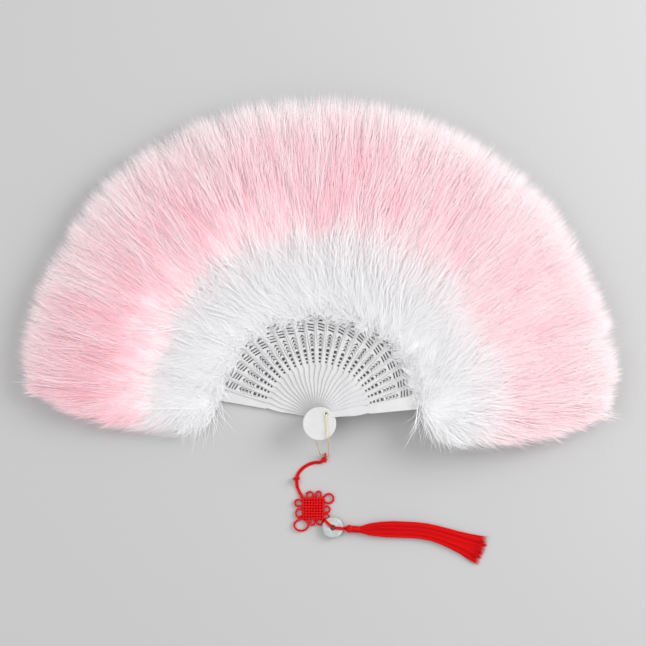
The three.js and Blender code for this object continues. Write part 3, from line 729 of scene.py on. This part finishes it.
tasselSettings = {
    "axisHeight": 3.6,
    "start": 11.9, "ball": 3.2,
    "ballThreads": 26, "ballThread": 0.42 * mm, "ballSides": 6, "ballStep": 0.7 * mm,
    "ballArc": (0.02, 0.92), "ballStations": 13,     # shares of the half turn from end to end
    "neckStart": 17.9, "neckEnd": 24.6, "neck": 2.9, "neckSwell": 0.35,
    "windings": 7, "winding": 0.95, "windingSides": 8, "windingStep": 0.5 * mm, "windingStations": 18,
    "filling": 2.2 * mm, "fillingSides": 16, "fillingStep": 1 * mm,
    "fillingFrom": 0.8, "fillingBeyond": 3,          # from the ball's start, and past the neck's end
}
skirtSettings = {
    "threads": 620, "threadWidth": 0.26 * mm, "endWidth": 0.9,
    "way": [(24.0, 0.0), (56.0, 2.4), (86.2, 2.3), (114.2, -4.4), (139.0, -12.4)],
    "wayStep": 1.0,
    "halfWidth": ((0, 2.6), (0.03, 4.2), (0.10, 6.0), (0.22, 7.3), (0.45, 7.2), (0.62, 7.5), (0.8, 9.4), (0.92, 12.2),
                  (1, 14.6)),
    "halfHeight": ((0, 2.4), (0.15, 3.3), (0.5, 2.6), (1, 1.5)),
    "rest": ((0, 3.6), (0.12, 3.5), (1, 1.75)),      # height of the skirt's middle
    "floor": 0.35,
    "stations": 13,
    "ragged": 0.05, "longest": 1.02,
    "bundles": 44, "bundleEnds": 0.016, "gather": 0.6,     # threads that cling together towards the end
    "mixed": 0.3, "drift": 0.06, "sway": 0.05, "swayWaves": 6,
    "edge": 1.05,                 # how far a thread may stray, in half-widths
    "seed": 31,
}


def tasselSpots(points):
    cx, cy = ringSettings["centre"]
    x, y = turnedBy(ringSettings["tasselTurn"], points[..., 0], points[..., 1])
    return np.stack([cx + x, cy + y, points[..., 2]], axis=-1) * mm


def makeTasselHead(settings):
    axis, start, ball = pick(settings, "axisHeight", "start", "ball")
    neckStart, neckEnd, windings = pick(settings, "neckStart", "neckEnd", "windings")

    def roundAxis(along, radius, turn, step):
        points = np.stack([along, radius * np.cos(turn), axis + radius * np.sin(turn)], axis=1)
        return smoothWay(tasselSpots(points), step)

    arc = math.pi * np.linspace(*settings["ballArc"], settings["ballStations"])
    turns = 2 * math.pi * np.arange(settings["ballThreads"]) / settings["ballThreads"]
    threads = [roundAxis(start + ball * (1 - np.cos(arc)), ball * np.sin(arc), turn, settings["ballStep"])
               for turn in turns]
    share = np.linspace(0, 1, windings * settings["windingStations"] + 1)
    swell = settings["neck"] - settings["neckSwell"] * np.abs(share - 0.5)
    winding = roundAxis(neckStart + (neckEnd - neckStart) * share, swell, 2 * math.pi * windings * share,
                        settings["windingStep"])
    core = np.array([(start + settings["fillingFrom"], 0, axis), (neckEnd + settings["fillingBeyond"], 0, axis)])
    filling = smoothWay(tasselSpots(core), settings["fillingStep"])
    layRedCord("tassel_ball", threads, settings["ballThread"], "tassel", "tassel_head", settings["ballSides"])
    layRedCord("tassel_binding", [winding], settings["winding"] / 2 * mm, "tassel", sides=settings["windingSides"])
    layRedCord("tassel_filling", [filling], settings["filling"], "tassel", sides=settings["fillingSides"])


def makeSkirt(settings):
    rng = np.random.default_rng(settings["seed"])
    count, stations, bundles, edge = pick(settings, "threads", "stations", "bundles", "edge")
    way = smoothWay([(x, y, 0) for x, y in settings["way"]], settings["wayStep"])
    gone = np.linspace(0, 1, len(way))
    tangents = unit(np.gradient(way, axis=0))
    shares = np.linspace(0, 1, stations)
    turn = rng.uniform(0, 2 * math.pi, count)
    depth = np.sqrt(rng.random(count))
    strand, height = np.cos(turn) * depth, np.sin(turn) * depth
    bundle = ((strand + 1) / 2 * bundles + rng.normal(0, settings["mixed"], count)).astype(int)
    bundle = np.clip(bundle, 0, bundles - 1)
    ends = 1 - settings["ragged"] * rng.random(count) + rng.normal(0, settings["bundleEnds"], bundles)[bundle]
    cling = ((bundle + 0.5) / bundles * 2 - 1 - strand)[:, None] * settings["gather"] * shares**3
    drift = rng.normal(0, settings["drift"], (count, 2))
    sway = settings["sway"] * np.sin(settings["swayWaves"] * shares[None] + turn[:, None])
    share = shares[None] * np.minimum(ends, settings["longest"])[:, None]
    aside = np.clip(strand[:, None] + cling + drift[:, :1] * shares + sway * shares, -edge, edge)
    aside = aside * fromTable(share, settings["halfWidth"])
    lift = np.clip(height[:, None] + drift[:, 1:] * shares, -1, 1) * fromTable(share, settings["halfHeight"])
    middleX, middleY, _ = (np.interp(share, gone, line) for line in way.T)
    alongX, alongY, _ = (np.interp(share, gone, line) for line in tangents.T)
    z = np.maximum(fromTable(share, settings["rest"]) + lift, settings["floor"])
    paths = tasselSpots(np.stack([middleX - alongY * aside, middleY + alongX * aside, z], axis=2))
    radii = np.full((count, stations), settings["threadWidth"])
    radii[:, -2] *= settings["endWidth"]
    tints = np.repeat(rng.random((count, 1)), stations, axis=1)
    return barbMesh("tassel_skirt_threads", paths, radii, tints, insideUv(np.tile(shares, (count, 1))))


makeTasselHead(tasselSettings)
dress(makeSkirt(skirtSettings), tasselSilk, "tassel", "tassel_skirt")
print("tassel ready")


# Sticks: moulded white plastic with softened edges, and fine turned rings on the thumb disc

plasticLook = {
    "pale": (0.66, 0.66, 0.665), "dull": (0.58, 0.58, 0.59), "clouds": 60, "grain": 1400,
    "rough": (0.30, 0.46), "specular": 0.4, "relief": (0.15, 0.02 * mm),
    "disc": (2.05, -5.92, 0), "discReach": 14.4 * mm, "rings": 1500, "ringRelief": (0.25, 0.04 * mm),
}
edgeSettings = {"weld": 0.004 * mm, "round": 0.2 * mm, "segments": 3, "sharp": 35}     # of the sticks and the pin


def addRings(tree, look, vector, normal):
    # Fine turned rings, only on the disc.
    move = addNode(tree, "VectorMath", {0: vector, 1: spot(*look["disc"])}, operation="SUBTRACT")
    flat = addNode(tree, "VectorMath", {0: move.outputs[0], 1: (1, 1, 0)}, operation="MULTIPLY")
    distance = addNode(tree, "VectorMath", {0: flat.outputs[0]}, operation="LENGTH").outputs["Value"]
    scaled = addMath(tree, "MULTIPLY", distance, look["rings"] * 2 * math.pi)
    inside = addMath(tree, "LESS_THAN", distance, look["discReach"])
    held = addMath(tree, "MULTIPLY", addMath(tree, "SINE", scaled), inside)
    return addBump(tree, held, look["ringRelief"], Normal=normal)


def makePlastic(name, look, turnedDisc):
    material, tree, shader = newMaterial(name)
    place = objectPlace(tree)
    clouds = addMottle(tree, place, look["clouds"])
    grain = addMottle(tree, place, look["grain"])
    normal = addBump(tree, grain, look["relief"])
    if turnedDisc:
        normal = addRings(tree, look, place, normal)
    fillInputs(tree, shader, {
        "Base Color": mixColours(tree, clouds, look["dull"], look["pale"]),
        "Roughness": addRange(tree, grain, look["rough"]),
        "Normal": normal, "Specular IOR Level": look["specular"],
    })
    return material


def finishNode(name, material, settings):
    node = bpy.data.objects[name]
    node.data.materials.clear()
    node.data.materials.append(material)
    weld = node.modifiers.new("weld", "WELD")
    weld.merge_threshold = settings["weld"]
    bevel = soften(node, settings["round"], settings["segments"], settings["sharp"])
    bevel.use_clamp_overlap = False


plastic = makePlastic("mouldedPlastic", plasticLook, False)
discPlastic = makePlastic("turnedPlastic", plasticLook, True)
for name in frame["nodes"]:
    if name.startswith("stave_") or name == "back_guard":
        finishNode(name, plastic, edgeSettings)
finishNode("front_guard", discPlastic, edgeSettings)
print("sticks ready")

# Metal: the eyelet in the disc and the pin under the stack

eyeletLook = {"pale": (0.86, 0.83, 0.76), "dull": (0.66, 0.62, 0.54), "wear": 700, "roughness": 0.24}
pinLook = {"pale": (0.62, 0.62, 0.63), "dull": (0.45, 0.45, 0.46), "wear": 700, "roughness": 0.32}
eyeletFlange = {"centre": (7.83, 3.23), "outer": 2.15, "hole": 1.05, "bottom": 27.95, "top": 28.4, "round": 0.18}
eyeletBarrel = {"centre": (7.83, 3.23), "outer": 1.55, "hole": 1.05, "bottom": 27.1, "top": 28.1, "round": 0.08}


def makeMetal(name, look):
    material, tree, shader = newMaterial(name)
    wear = addMottle(tree, objectPlace(tree), look["wear"])
    fillInputs(tree, shader, {
        "Base Color": mixColours(tree, wear, look["dull"], look["pale"]),
        "Metallic": 1, "Roughness": look["roughness"],
    })
    return material


eyeletRing = joined(makeRing("eyelet_ring", eyeletFlange), makeRing("eyelet_barrel", eyeletBarrel))
dress(eyeletRing, makeMetal("eyeletMetal", eyeletLook), "front", "loop_eyelet")
finishNode("pivot_pin", makeMetal("pinMetal", pinLook), edgeSettings)

# Down: colour runs along the fan's radius (V) and varies from barb to barb (U)

downShine = {"Roughness": 0.8, "Specular IOR Level": 0.2, "Sheen Roughness": 0.5}
pinkDownLook = {
    "stops": [
        (0.12, (0.95, 0.89, 0.90)),
        (0.25, (0.97, 0.78, 0.81)),
        (0.40, (0.99, 0.64, 0.70)),
        (0.60, (0.99, 0.58, 0.65)),
        (0.76, (0.99, 0.62, 0.685)),
        (0.88, (0.98, 0.74, 0.78)),
        (1.00, (0.97, 0.87, 0.89)),
    ],
    "paleBarb": (0.98, 0.91, 0.925),
    "paleShare": 0.8,
    "sheen": 0.0,
}
whiteDownLook = {
    "stops": [
        (0.00, (0.88, 0.88, 0.895)),
        (0.20, (0.90, 0.89, 0.905)),
        (0.34, (0.95, 0.88, 0.90)),
        (0.50, (0.97, 0.80, 0.84)),
    ],
    "paleBarb": (0.95, 0.945, 0.95),
    "paleShare": 0.6,
    "sheen": 0.5,
}


def makeDown(name, look):
    material, tree, shader = newMaterial(name)
    tint, outwards = strandTint(tree)
    ramp = addRamp(tree, outwards, look["stops"])
    paleness = addMath(tree, "MULTIPLY", tint, look["paleShare"])
    colour = mixColours(tree, paleness, ramp, look["paleBarb"])
    fillInputs(tree, shader, {"Base Color": colour, "Sheen Weight": look["sheen"], **downShine})
    return material


pinkDown = makeDown("pinkDown", pinkDownLook)
whiteDown = makeDown("whiteDown", whiteDownLook)
print("down materials ready")


# Plumes: on each stick a pink feather with a white one over its base, each a lens of dense down under tufts of barbs.
# Lengths are in the stick's own frame: along it, to its left, and up.

plumeSettings = {
    "innerRadius": 95 * mm,      # where the colour's radius starts and ends
    "outerRadius": 290 * mm,
    # how far the barbs reach from the pin, by degrees from the fan's middle line
    "outline": ((0, 289), (30, 288), (48, 286), (58, 279), (72, 277), (80, 273), (86, 262), (90, 244), (94, 213),
                (98, 171), (102, 135), (106, 117), (112, 106)),
    "tipRagged": 3.5 * mm,
    "leastLength": 0.3,          # share of a barb that is left at the outline
    "floor": 0.4 * mm, "floorRagged": 2 * mm,
    "ceiling": 38 * mm,
    "middleHeight": 14.5 * mm,   # where the plumes settle, away from their sticks
    "settleFrom": 112 * mm,
    "settleTo": 190 * mm,
    "settle": 0.75,
    "keep": 0.12,                # share of a plume's height that is left in the folded fan
    "lensSegments": 24, "lensRings": 12,
    "barbRadius": 0.125 * mm,
    "stations": (0.0, 0.5, 1.0),
    "taper": (1.0, 0.85, 0.0),
    "halfFan": 80,               # degrees from the fan's middle line to its ends
    "rootWidth": 0.85, "leastChord": 0.02,      # shares of the lens that carries the roots
    "liftPeak": 2.2, "droopRange": (0.3, 1.2),
    "tintRange": (0.15, 0.85), "plumeTint": (-0.6, 0.6),
    "wavePhase": 6.3, "wavesAcross": 2.4,       # of the patches of tint
    # how one barb differs from the next: upward share of the scatter, length, pull to the guide, tint and width
    "upScatter": 0.4, "barbLength": (0.75, 1.08), "barbPull": (0.3, 1), "barbTint": 0.12, "barbWidth": (0.75, 1.25),
}
pinkTufts = {
    "seed": 100,
    "lens": {"centre": 184 * mm, "size": (72 * mm, 27 * mm, 8.5 * mm), "above": 0, "tint": 0.05},
    "guardLens": {"aside": 15 * mm, "width": 33 * mm},
    "count": 150, "barbs": 22, "guardCount": 280,
    "root": (110 * mm, 250 * mm),
    "rootPatch": (3.5 * mm, 2.5 * mm, 0.5 * mm),
    "crowding": 0.76,            # under 1 puts more tufts near the outer end
    "length": (58 * mm, 58 * mm),
    "lengthRange": (0.85, 1.1),
    "uneven": 0.05,              # how much one plume's barbs differ in length from the next one's
    "leftward": 0.0,             # how much longer they are at the fan's left end than in the middle
    "paler": 0.2,                # how much paler they are at its right end
    "sector": 1.35,              # least half-width of the roots, in half-pitches of the sticks
    "spread": (34, 24),          # degrees to each side, at the base and at the outer end
    "outerSpread": (70, 34),     # the same on the open side of a guard
    "stray": 6,
    "lift": 5,
    "droop": 6,
    "forward": 0.6,              # share of the spread that is left at a barb's end
    "scatter": 8,
    "gather": 0.16,
    "frost": 0.7,                # how much paler a barb is at its end than at its root
    "mottle": 0.3,               # how much the tint differs between patches of a plume
    "patch": 7 * mm,
    "below": 0.28,               # share of the tufts that lie under the lens
}
whiteTufts = {
    "seed": 200,
    "lens": {"centre": 123 * mm, "size": (26 * mm, 12 * mm, 5 * mm), "above": 4 * mm, "tint": 0.3},
    "guardLens": {"aside": 9 * mm, "width": 22 * mm},
    "count": 96, "barbs": 20, "guardCount": 186,
    "root": (97 * mm, 142 * mm),
    "rootPatch": (3.5 * mm, 2.5 * mm, 0.5 * mm),
    "crowding": 1.35,
    "length": (27 * mm, 46 * mm),
    "lengthRange": (0.45, 1.7),
    "uneven": 0.3,
    "leftward": 0.16,
    "paler": 0.0,
    "sector": 1.2,
    "spread": (66, 30),
    "outerSpread": (92, 62),
    "stray": 18,
    "lift": 7,
    "droop": 8,
    "forward": 0.5,
    "scatter": 11,
    "gather": 0.18,
    "frost": 0.3,
    "mottle": 0.3,
    "patch": 5 * mm,
    "below": 0.12,
}
fringeTufts = {                  # short down over the ends of the pierced blades
    "count": 40, "barbs": 16,
    "weight": 0.9,
    "root": (99 * mm, 112 * mm),
    "rootPatch": (2 * mm, 2 * mm, 0.5 * mm),
    "ragged": 17 * mm,           # how much further in one stick's fringe may start than the next one's
    "length": (7 * mm, 20 * mm),
    "turned": (45, 170),
    "forward": 0.8,
    "rise": (2, 22),
    "fall": (5, 35),
    "scatter": 14,
    "gather": 0.25,
    "above": 4.0 * mm,
    "aside": 5.5 * mm,
}
wispSettings = {                 # long curved barbs that stray below the guards
    "count": 130, "barbs": 1,
    "weight": 1.7,
    "root": (92 * mm, 124 * mm),
    "rootPatch": (2 * mm, 1 * mm, 1 * mm),
    "rootHeight": (-4, 4),
    "length": (30 * mm, 56 * mm),
    "turned": (50, 122),
    "curl": (-70, 50),
    "rise": (-20, 20),
    "fall": (-25, 10),
    "scatter": 3,
    "gather": 0,
}


def settledHeight(stick, along):
    settings = plumeSettings
    share = np.clip((along - settings["settleFrom"]) / (settings["settleTo"] - settings["settleFrom"]), 0, 1)
    return stick["height"] + (settings["middleHeight"] - stick["height"]) * eased(share) * settings["settle"]


def shareOf(distance):
    inner, outer = plumeSettings["innerRadius"], plumeSettings["outerRadius"]
    return insideUv((distance - inner) / (outer - inner))


def lensOf(tufts, stick):
    lens = tufts["lens"]
    reach, width, thickness = lens["size"]
    aside = 0
    if stick["outward"]:
        aside = stick["outward"] * tufts["guardLens"]["aside"]
        width = tufts["guardLens"]["width"]
    return {"centre": (lens["centre"], aside, lens["above"]), "size": (reach, width, thickness), "tint": lens["tint"]}


def makeLens(name, lens, stick):
    bpy.ops.object.select_all(action="DESELECT")
    bpy.ops.mesh.primitive_uv_sphere_add(
        segments=plumeSettings["lensSegments"], ring_count=plumeSettings["lensRings"], radius=1)
    piece = bpy.context.object
    piece.name = name
    bpy.ops.object.mode_set(mode="EDIT")
    bpy.ops.mesh.select_all(action="SELECT")
    bpy.ops.transform.resize(value=lens["size"])
    bpy.ops.transform.translate(value=lens["centre"])
    bpy.ops.object.mode_set(mode="OBJECT")
    mesh = piece.data
    for vertex in mesh.vertices:
        vertex.co.z = max(vertex.co.z + settledHeight(stick, vertex.co.x), plumeSettings["floor"])
    piece.rotation_euler.z = math.radians(stick["angle"])
    bpy.ops.object.transform_apply(location=True, rotation=True, scale=True)
    bpy.ops.object.shade_smooth()
    for layer in list(mesh.uv_layers):
        mesh.uv_layers.remove(layer)
    layer = mesh.uv_layers.new(name=downUv)
    for loop in mesh.loops:
        place = mesh.vertices[loop.vertex_index].co
        layer.data[loop.index].uv = (lens["tint"], shareOf(math.hypot(place.x, place.y)))
    return piece


def heading(sideways, upward):
    a, b = np.radians(sideways), np.radians(upward)
    return np.stack([np.cos(b) * np.cos(a), np.cos(b) * np.sin(a), np.sin(b)], axis=-1)


def bentPaths(roots, first, last, size):
    steps = np.array(plumeSettings["stations"])[None, :, None]
    run = first[:, None] * steps + (last - first)[:, None] * steps**2 / 2
    return roots[:, None] + run * size[:, None, None]


def tuftPaths(rng, tufts, guideRoots, turned, end, rise, fall, length, guideTints):
    # Each tuft's barbs leave from a patch of the lens and gather a little towards their guide.
    settings, each, scatter = plumeSettings, tufts["barbs"], tufts["scatter"]
    total = len(length) * each

    def scattered(sideways, upward):
        return heading(np.repeat(sideways, each) + rng.normal(0, scatter, total),
                       np.repeat(upward, each) + rng.normal(0, scatter * settings["upScatter"], total))

    guides = bentPaths(guideRoots, heading(turned, rise), heading(end, fall), length)
    roots = np.repeat(guideRoots, each, axis=0) + rng.normal(0, 1, (total, 3)) * tufts["rootPatch"]
    first = scattered(turned, rise)
    last = scattered(end, fall)
    size = np.repeat(length, each) * rng.uniform(*settings["barbLength"], total)
    paths = bentPaths(roots, first, last, size)
    steps = np.array(settings["stations"])[None, :, None]
    pull = tufts["gather"] * steps**2 * rng.uniform(*settings["barbPull"], total)[:, None, None]
    tints = np.repeat(guideTints, each) + rng.normal(0, settings["barbTint"], total)
    return paths + (np.repeat(guides, each, axis=0) - paths) * pull, tints


def plumeBarbs(rng, tufts, lens, stick):
    settings, outward = plumeSettings, stick["outward"]
    count = tufts["guardCount"] if outward else tufts["count"]
    place = rng.random(count) ** tufts["crowding"]

    def graded(key):
        return np.interp(place, (0, 1), tufts[key])

    along = graded("root")
    length = graded("length") * rng.uniform(*tufts["lengthRange"], count)
    length = length * (1 + tufts["uneven"] * rng.uniform(-1, 1) + tufts["leftward"] * stick["across"])
    share = rng.uniform(-1, 1, count)
    turned = share * graded("spread")
    if outward:
        turned = np.where(share * outward > 0, share * graded("outerSpread"), turned)
    turned = turned + rng.normal(0, tufts["stray"], count)
    middle, aside, above = lens["centre"]
    reach, width, thickness = lens["size"]
    chord = np.sqrt(np.clip(1 - ((along - middle) / reach) ** 2, settings["leastChord"], 1))
    sector = along * math.tan(math.radians(stick["pitch"] / 2)) * tufts["sector"]
    side = aside + share * np.maximum(width * chord * settings["rootWidth"], sector)
    skin = thickness * chord * np.sqrt(1 - (share * settings["rootWidth"]) ** 2)
    sign = np.where(rng.random(count) < tufts["below"], -1, 1)
    rise = sign * tufts["lift"] * rng.random(count) ** 2 * settings["liftPeak"]
    fall = -sign * tufts["droop"] * rng.uniform(*settings["droopRange"], count)
    end = turned * tufts["forward"] + rng.normal(0, tufts["stray"], count)
    roots = np.stack([along, side, settledHeight(stick, along) + above + sign * skin], axis=1)
    wave = np.sin(along / tufts["patch"] + rng.uniform(0, settings["wavePhase"]))
    wave = wave * np.sin(settings["wavesAcross"] * share + rng.uniform(0, settings["wavePhase"]))
    tints = rng.uniform(*settings["tintRange"], count)
    tints = tints + tufts["mottle"] * (wave + rng.uniform(*settings["plumeTint"]))
    return tuftPaths(rng, tufts, roots, turned, end, rise, fall, length, tints)


def fringeBarbs(rng, tufts, stick):
    count = tufts["count"]
    start, end = tufts["root"]
    along = rng.uniform(start - tufts["ragged"] * rng.random() ** 2, end, count)
    side = rng.uniform(-1, 1, count)
    turned = np.where(rng.random(count) < 0.5, -1, 1) * rng.uniform(*tufts["turned"], count)
    roots = np.stack([along, side * tufts["aside"], settledHeight(stick, along) + tufts["above"]], axis=1)
    rise = rng.uniform(*tufts["rise"], count)
    fall = -rng.uniform(*tufts["fall"], count)
    length = rng.uniform(*tufts["length"], count)
    return tuftPaths(rng, tufts, roots, turned, turned * tufts["forward"], rise, fall, length, rng.random(count))


def wispBarbs(rng, tufts, stick):
    count, outward = tufts["count"], stick["outward"]
    along = rng.uniform(*tufts["root"], count)
    turned = outward * rng.uniform(*tufts["turned"], count)
    end = turned + outward * rng.uniform(*tufts["curl"], count)
    height = settledHeight(stick, along) + rng.uniform(*tufts["rootHeight"], count) * mm
    roots = np.stack([along, np.zeros(count), height], axis=1)
    rise = rng.uniform(*tufts["rise"], count)
    fall = rng.uniform(*tufts["fall"], count)
    length = rng.uniform(*tufts["length"], count)
    return tuftPaths(rng, tufts, roots, turned, end, rise, fall, length, rng.random(count))


def trimmed(rng, paths, stick):
    # Barbs that would pass the fan's outline are drawn back along themselves.
    settings = plumeSettings
    total = len(paths)
    roots, tips = paths[:, :1], paths[:, -1]
    turned = stick["angle"] + np.degrees(np.arctan2(tips[:, 1], tips[:, 0])) - 90
    limit = fromTable(np.abs(turned), settings["outline"]) * mm + rng.normal(0, settings["tipRagged"], total)
    size = np.linalg.norm(tips - roots[:, 0], axis=1)
    over = np.clip(np.hypot(tips[:, 0], tips[:, 1]) - limit, 0, None) / size
    paths = roots + (paths - roots) * np.clip(1 - over, settings["leastLength"], 1)[:, None, None]
    low = settings["floor"] + settings["floorRagged"] * rng.random((total, 1))
    paths[:, :, 2] = np.clip(paths[:, :, 2], low, settings["ceiling"])
    return paths


def makePlume(name, tufts, material, seed, stick, extras):
    rng = np.random.default_rng(seed)
    settings = plumeSettings
    lens = lensOf(tufts, stick)
    paths, tints = plumeBarbs(rng, tufts, lens, stick)
    batches = [(trimmed(rng, paths, stick), tints, np.ones(len(paths)))]
    for make, kind in extras:
        paths, tints = make(rng, kind, stick)
        batches.append((paths, tints, np.full(len(paths), kind["weight"])))
    paths, tints, weights = map(np.concatenate, zip(*batches))
    x, y, z = np.moveaxis(paths, 2, 0)
    shares = shareOf(np.hypot(x, y))
    frost = tufts["frost"] * (np.array(settings["stations"])[None] - 0.5)
    tints = insideUv(tints[:, None] + frost + tufts["paler"] * max(0, -stick["across"]))
    radii = np.array(settings["taper"])[None] * settings["barbRadius"] * weights[:, None]
    radii = radii * rng.uniform(*settings["barbWidth"], len(paths))[:, None]
    placed = np.stack([*turnedBy(stick["angle"], x, y), np.maximum(z, settings["floor"])], axis=2)
    down = makeLens(name + "_lens", lens, stick)
    piece = joined(barbMesh(name, placed, radii, tints, shares), down)
    piece.data.materials.clear()
    dress(piece, material, stick["body"])
    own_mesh(piece)
    return piece


def readSticks():
    ranges = {joint["name"]: joint["range_deg"][1] for joint in frame["joints"]}
    spread = ranges["fan_fold"]
    pitch = spread - ranges["stick_01_fold"]

    def stick(label, node, body, joint, turned, outward):
        low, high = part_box(node)
        fromMiddle = turned - spread / 2
        return {
            "label": label, "plume": "plume_" + label, "body": body, "joint": joint, "height": (low.z + high.z) / 2,
            "angle": 90 + fromMiddle, "outward": outward, "pitch": pitch,
            "across": fromMiddle / plumeSettings["halfFan"],     # -1 at the fan's right end, 1 at its left end
        }

    def stave(label):
        joint = f"stick_{label}_fold"
        return stick(label, "stave_" + label, "stick_" + label, joint, ranges[joint], 0)

    labels = sorted(name[len("stave_"):] for name in frame["nodes"] if name.startswith("stave_"))
    return [stick("back", "back_guard", "back", "fan_fold", spread, 1), *map(stave, labels),
            stick("front", "front_guard", "front", "fan_fold", 0, -1)]


for order, stick in enumerate(readSticks()):
    strays = [(wispBarbs, wispSettings)] if stick["outward"] else []
    pink = makePlume("pink_plume_" + stick["label"], pinkTufts, pinkDown, pinkTufts["seed"] + order, stick, [])
    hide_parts(stick["plume"])
    makePlume("white_plume_" + stick["label"], whiteTufts, whiteDown, whiteTufts["seed"] + order, stick,
              [(fringeBarbs, fringeTufts)] + strays)
print("plumes ready")


# Floor and soft light

stageSettings = {
    "floorSize": 8.0,
    "floorColour": (0.50, 0.50, 0.505),
    "floorShine": {"Roughness": 0.9, "Specular IOR Level": 0.1},
    "worldLight": 0.70,
    "aim": (0, 0.08, 0),
    "key": {"place": (1.25, 0.6, 0.85), "size": 0.9, "power": 19.5},
    "fill": {"place": (-0.9, 0.1, 1.7), "size": 1.6, "power": 11},
}


def makeStage(settings):
    bpy.ops.mesh.primitive_plane_add(size=settings["floorSize"], location=(0, 0, 0))
    floor = bpy.context.object
    floor.name = "floor"
    material, tree, shader = newMaterial("paleFloor")
    fillInputs(tree, shader, {"Base Color": (*settings["floorColour"], 1), **settings["floorShine"]})
    floor.data.materials.append(material)
    world = bpy.data.worlds.new("softRoom")
    scene.world = world
    world.use_nodes = True
    light = world.node_tree.nodes["Background"]
    fillInputs(world.node_tree, light, {"Color": (1, 1, 1, 1), "Strength": settings["worldLight"]})
    for label in ("key", "fill"):
        lamp = settings[label]
        bpy.ops.object.light_add(type="AREA", location=lamp["place"])
        softbox = bpy.context.object
        softbox.name = label + "Softbox"
        softbox.data.size = lamp["size"]
        softbox.data.energy = lamp["power"]
        aim = Vector(settings["aim"]) - Vector(lamp["place"])
        softbox.rotation_euler = aim.to_track_quat("-Z", "Y").to_euler()


makeStage(stageSettings)
print("stage ready")
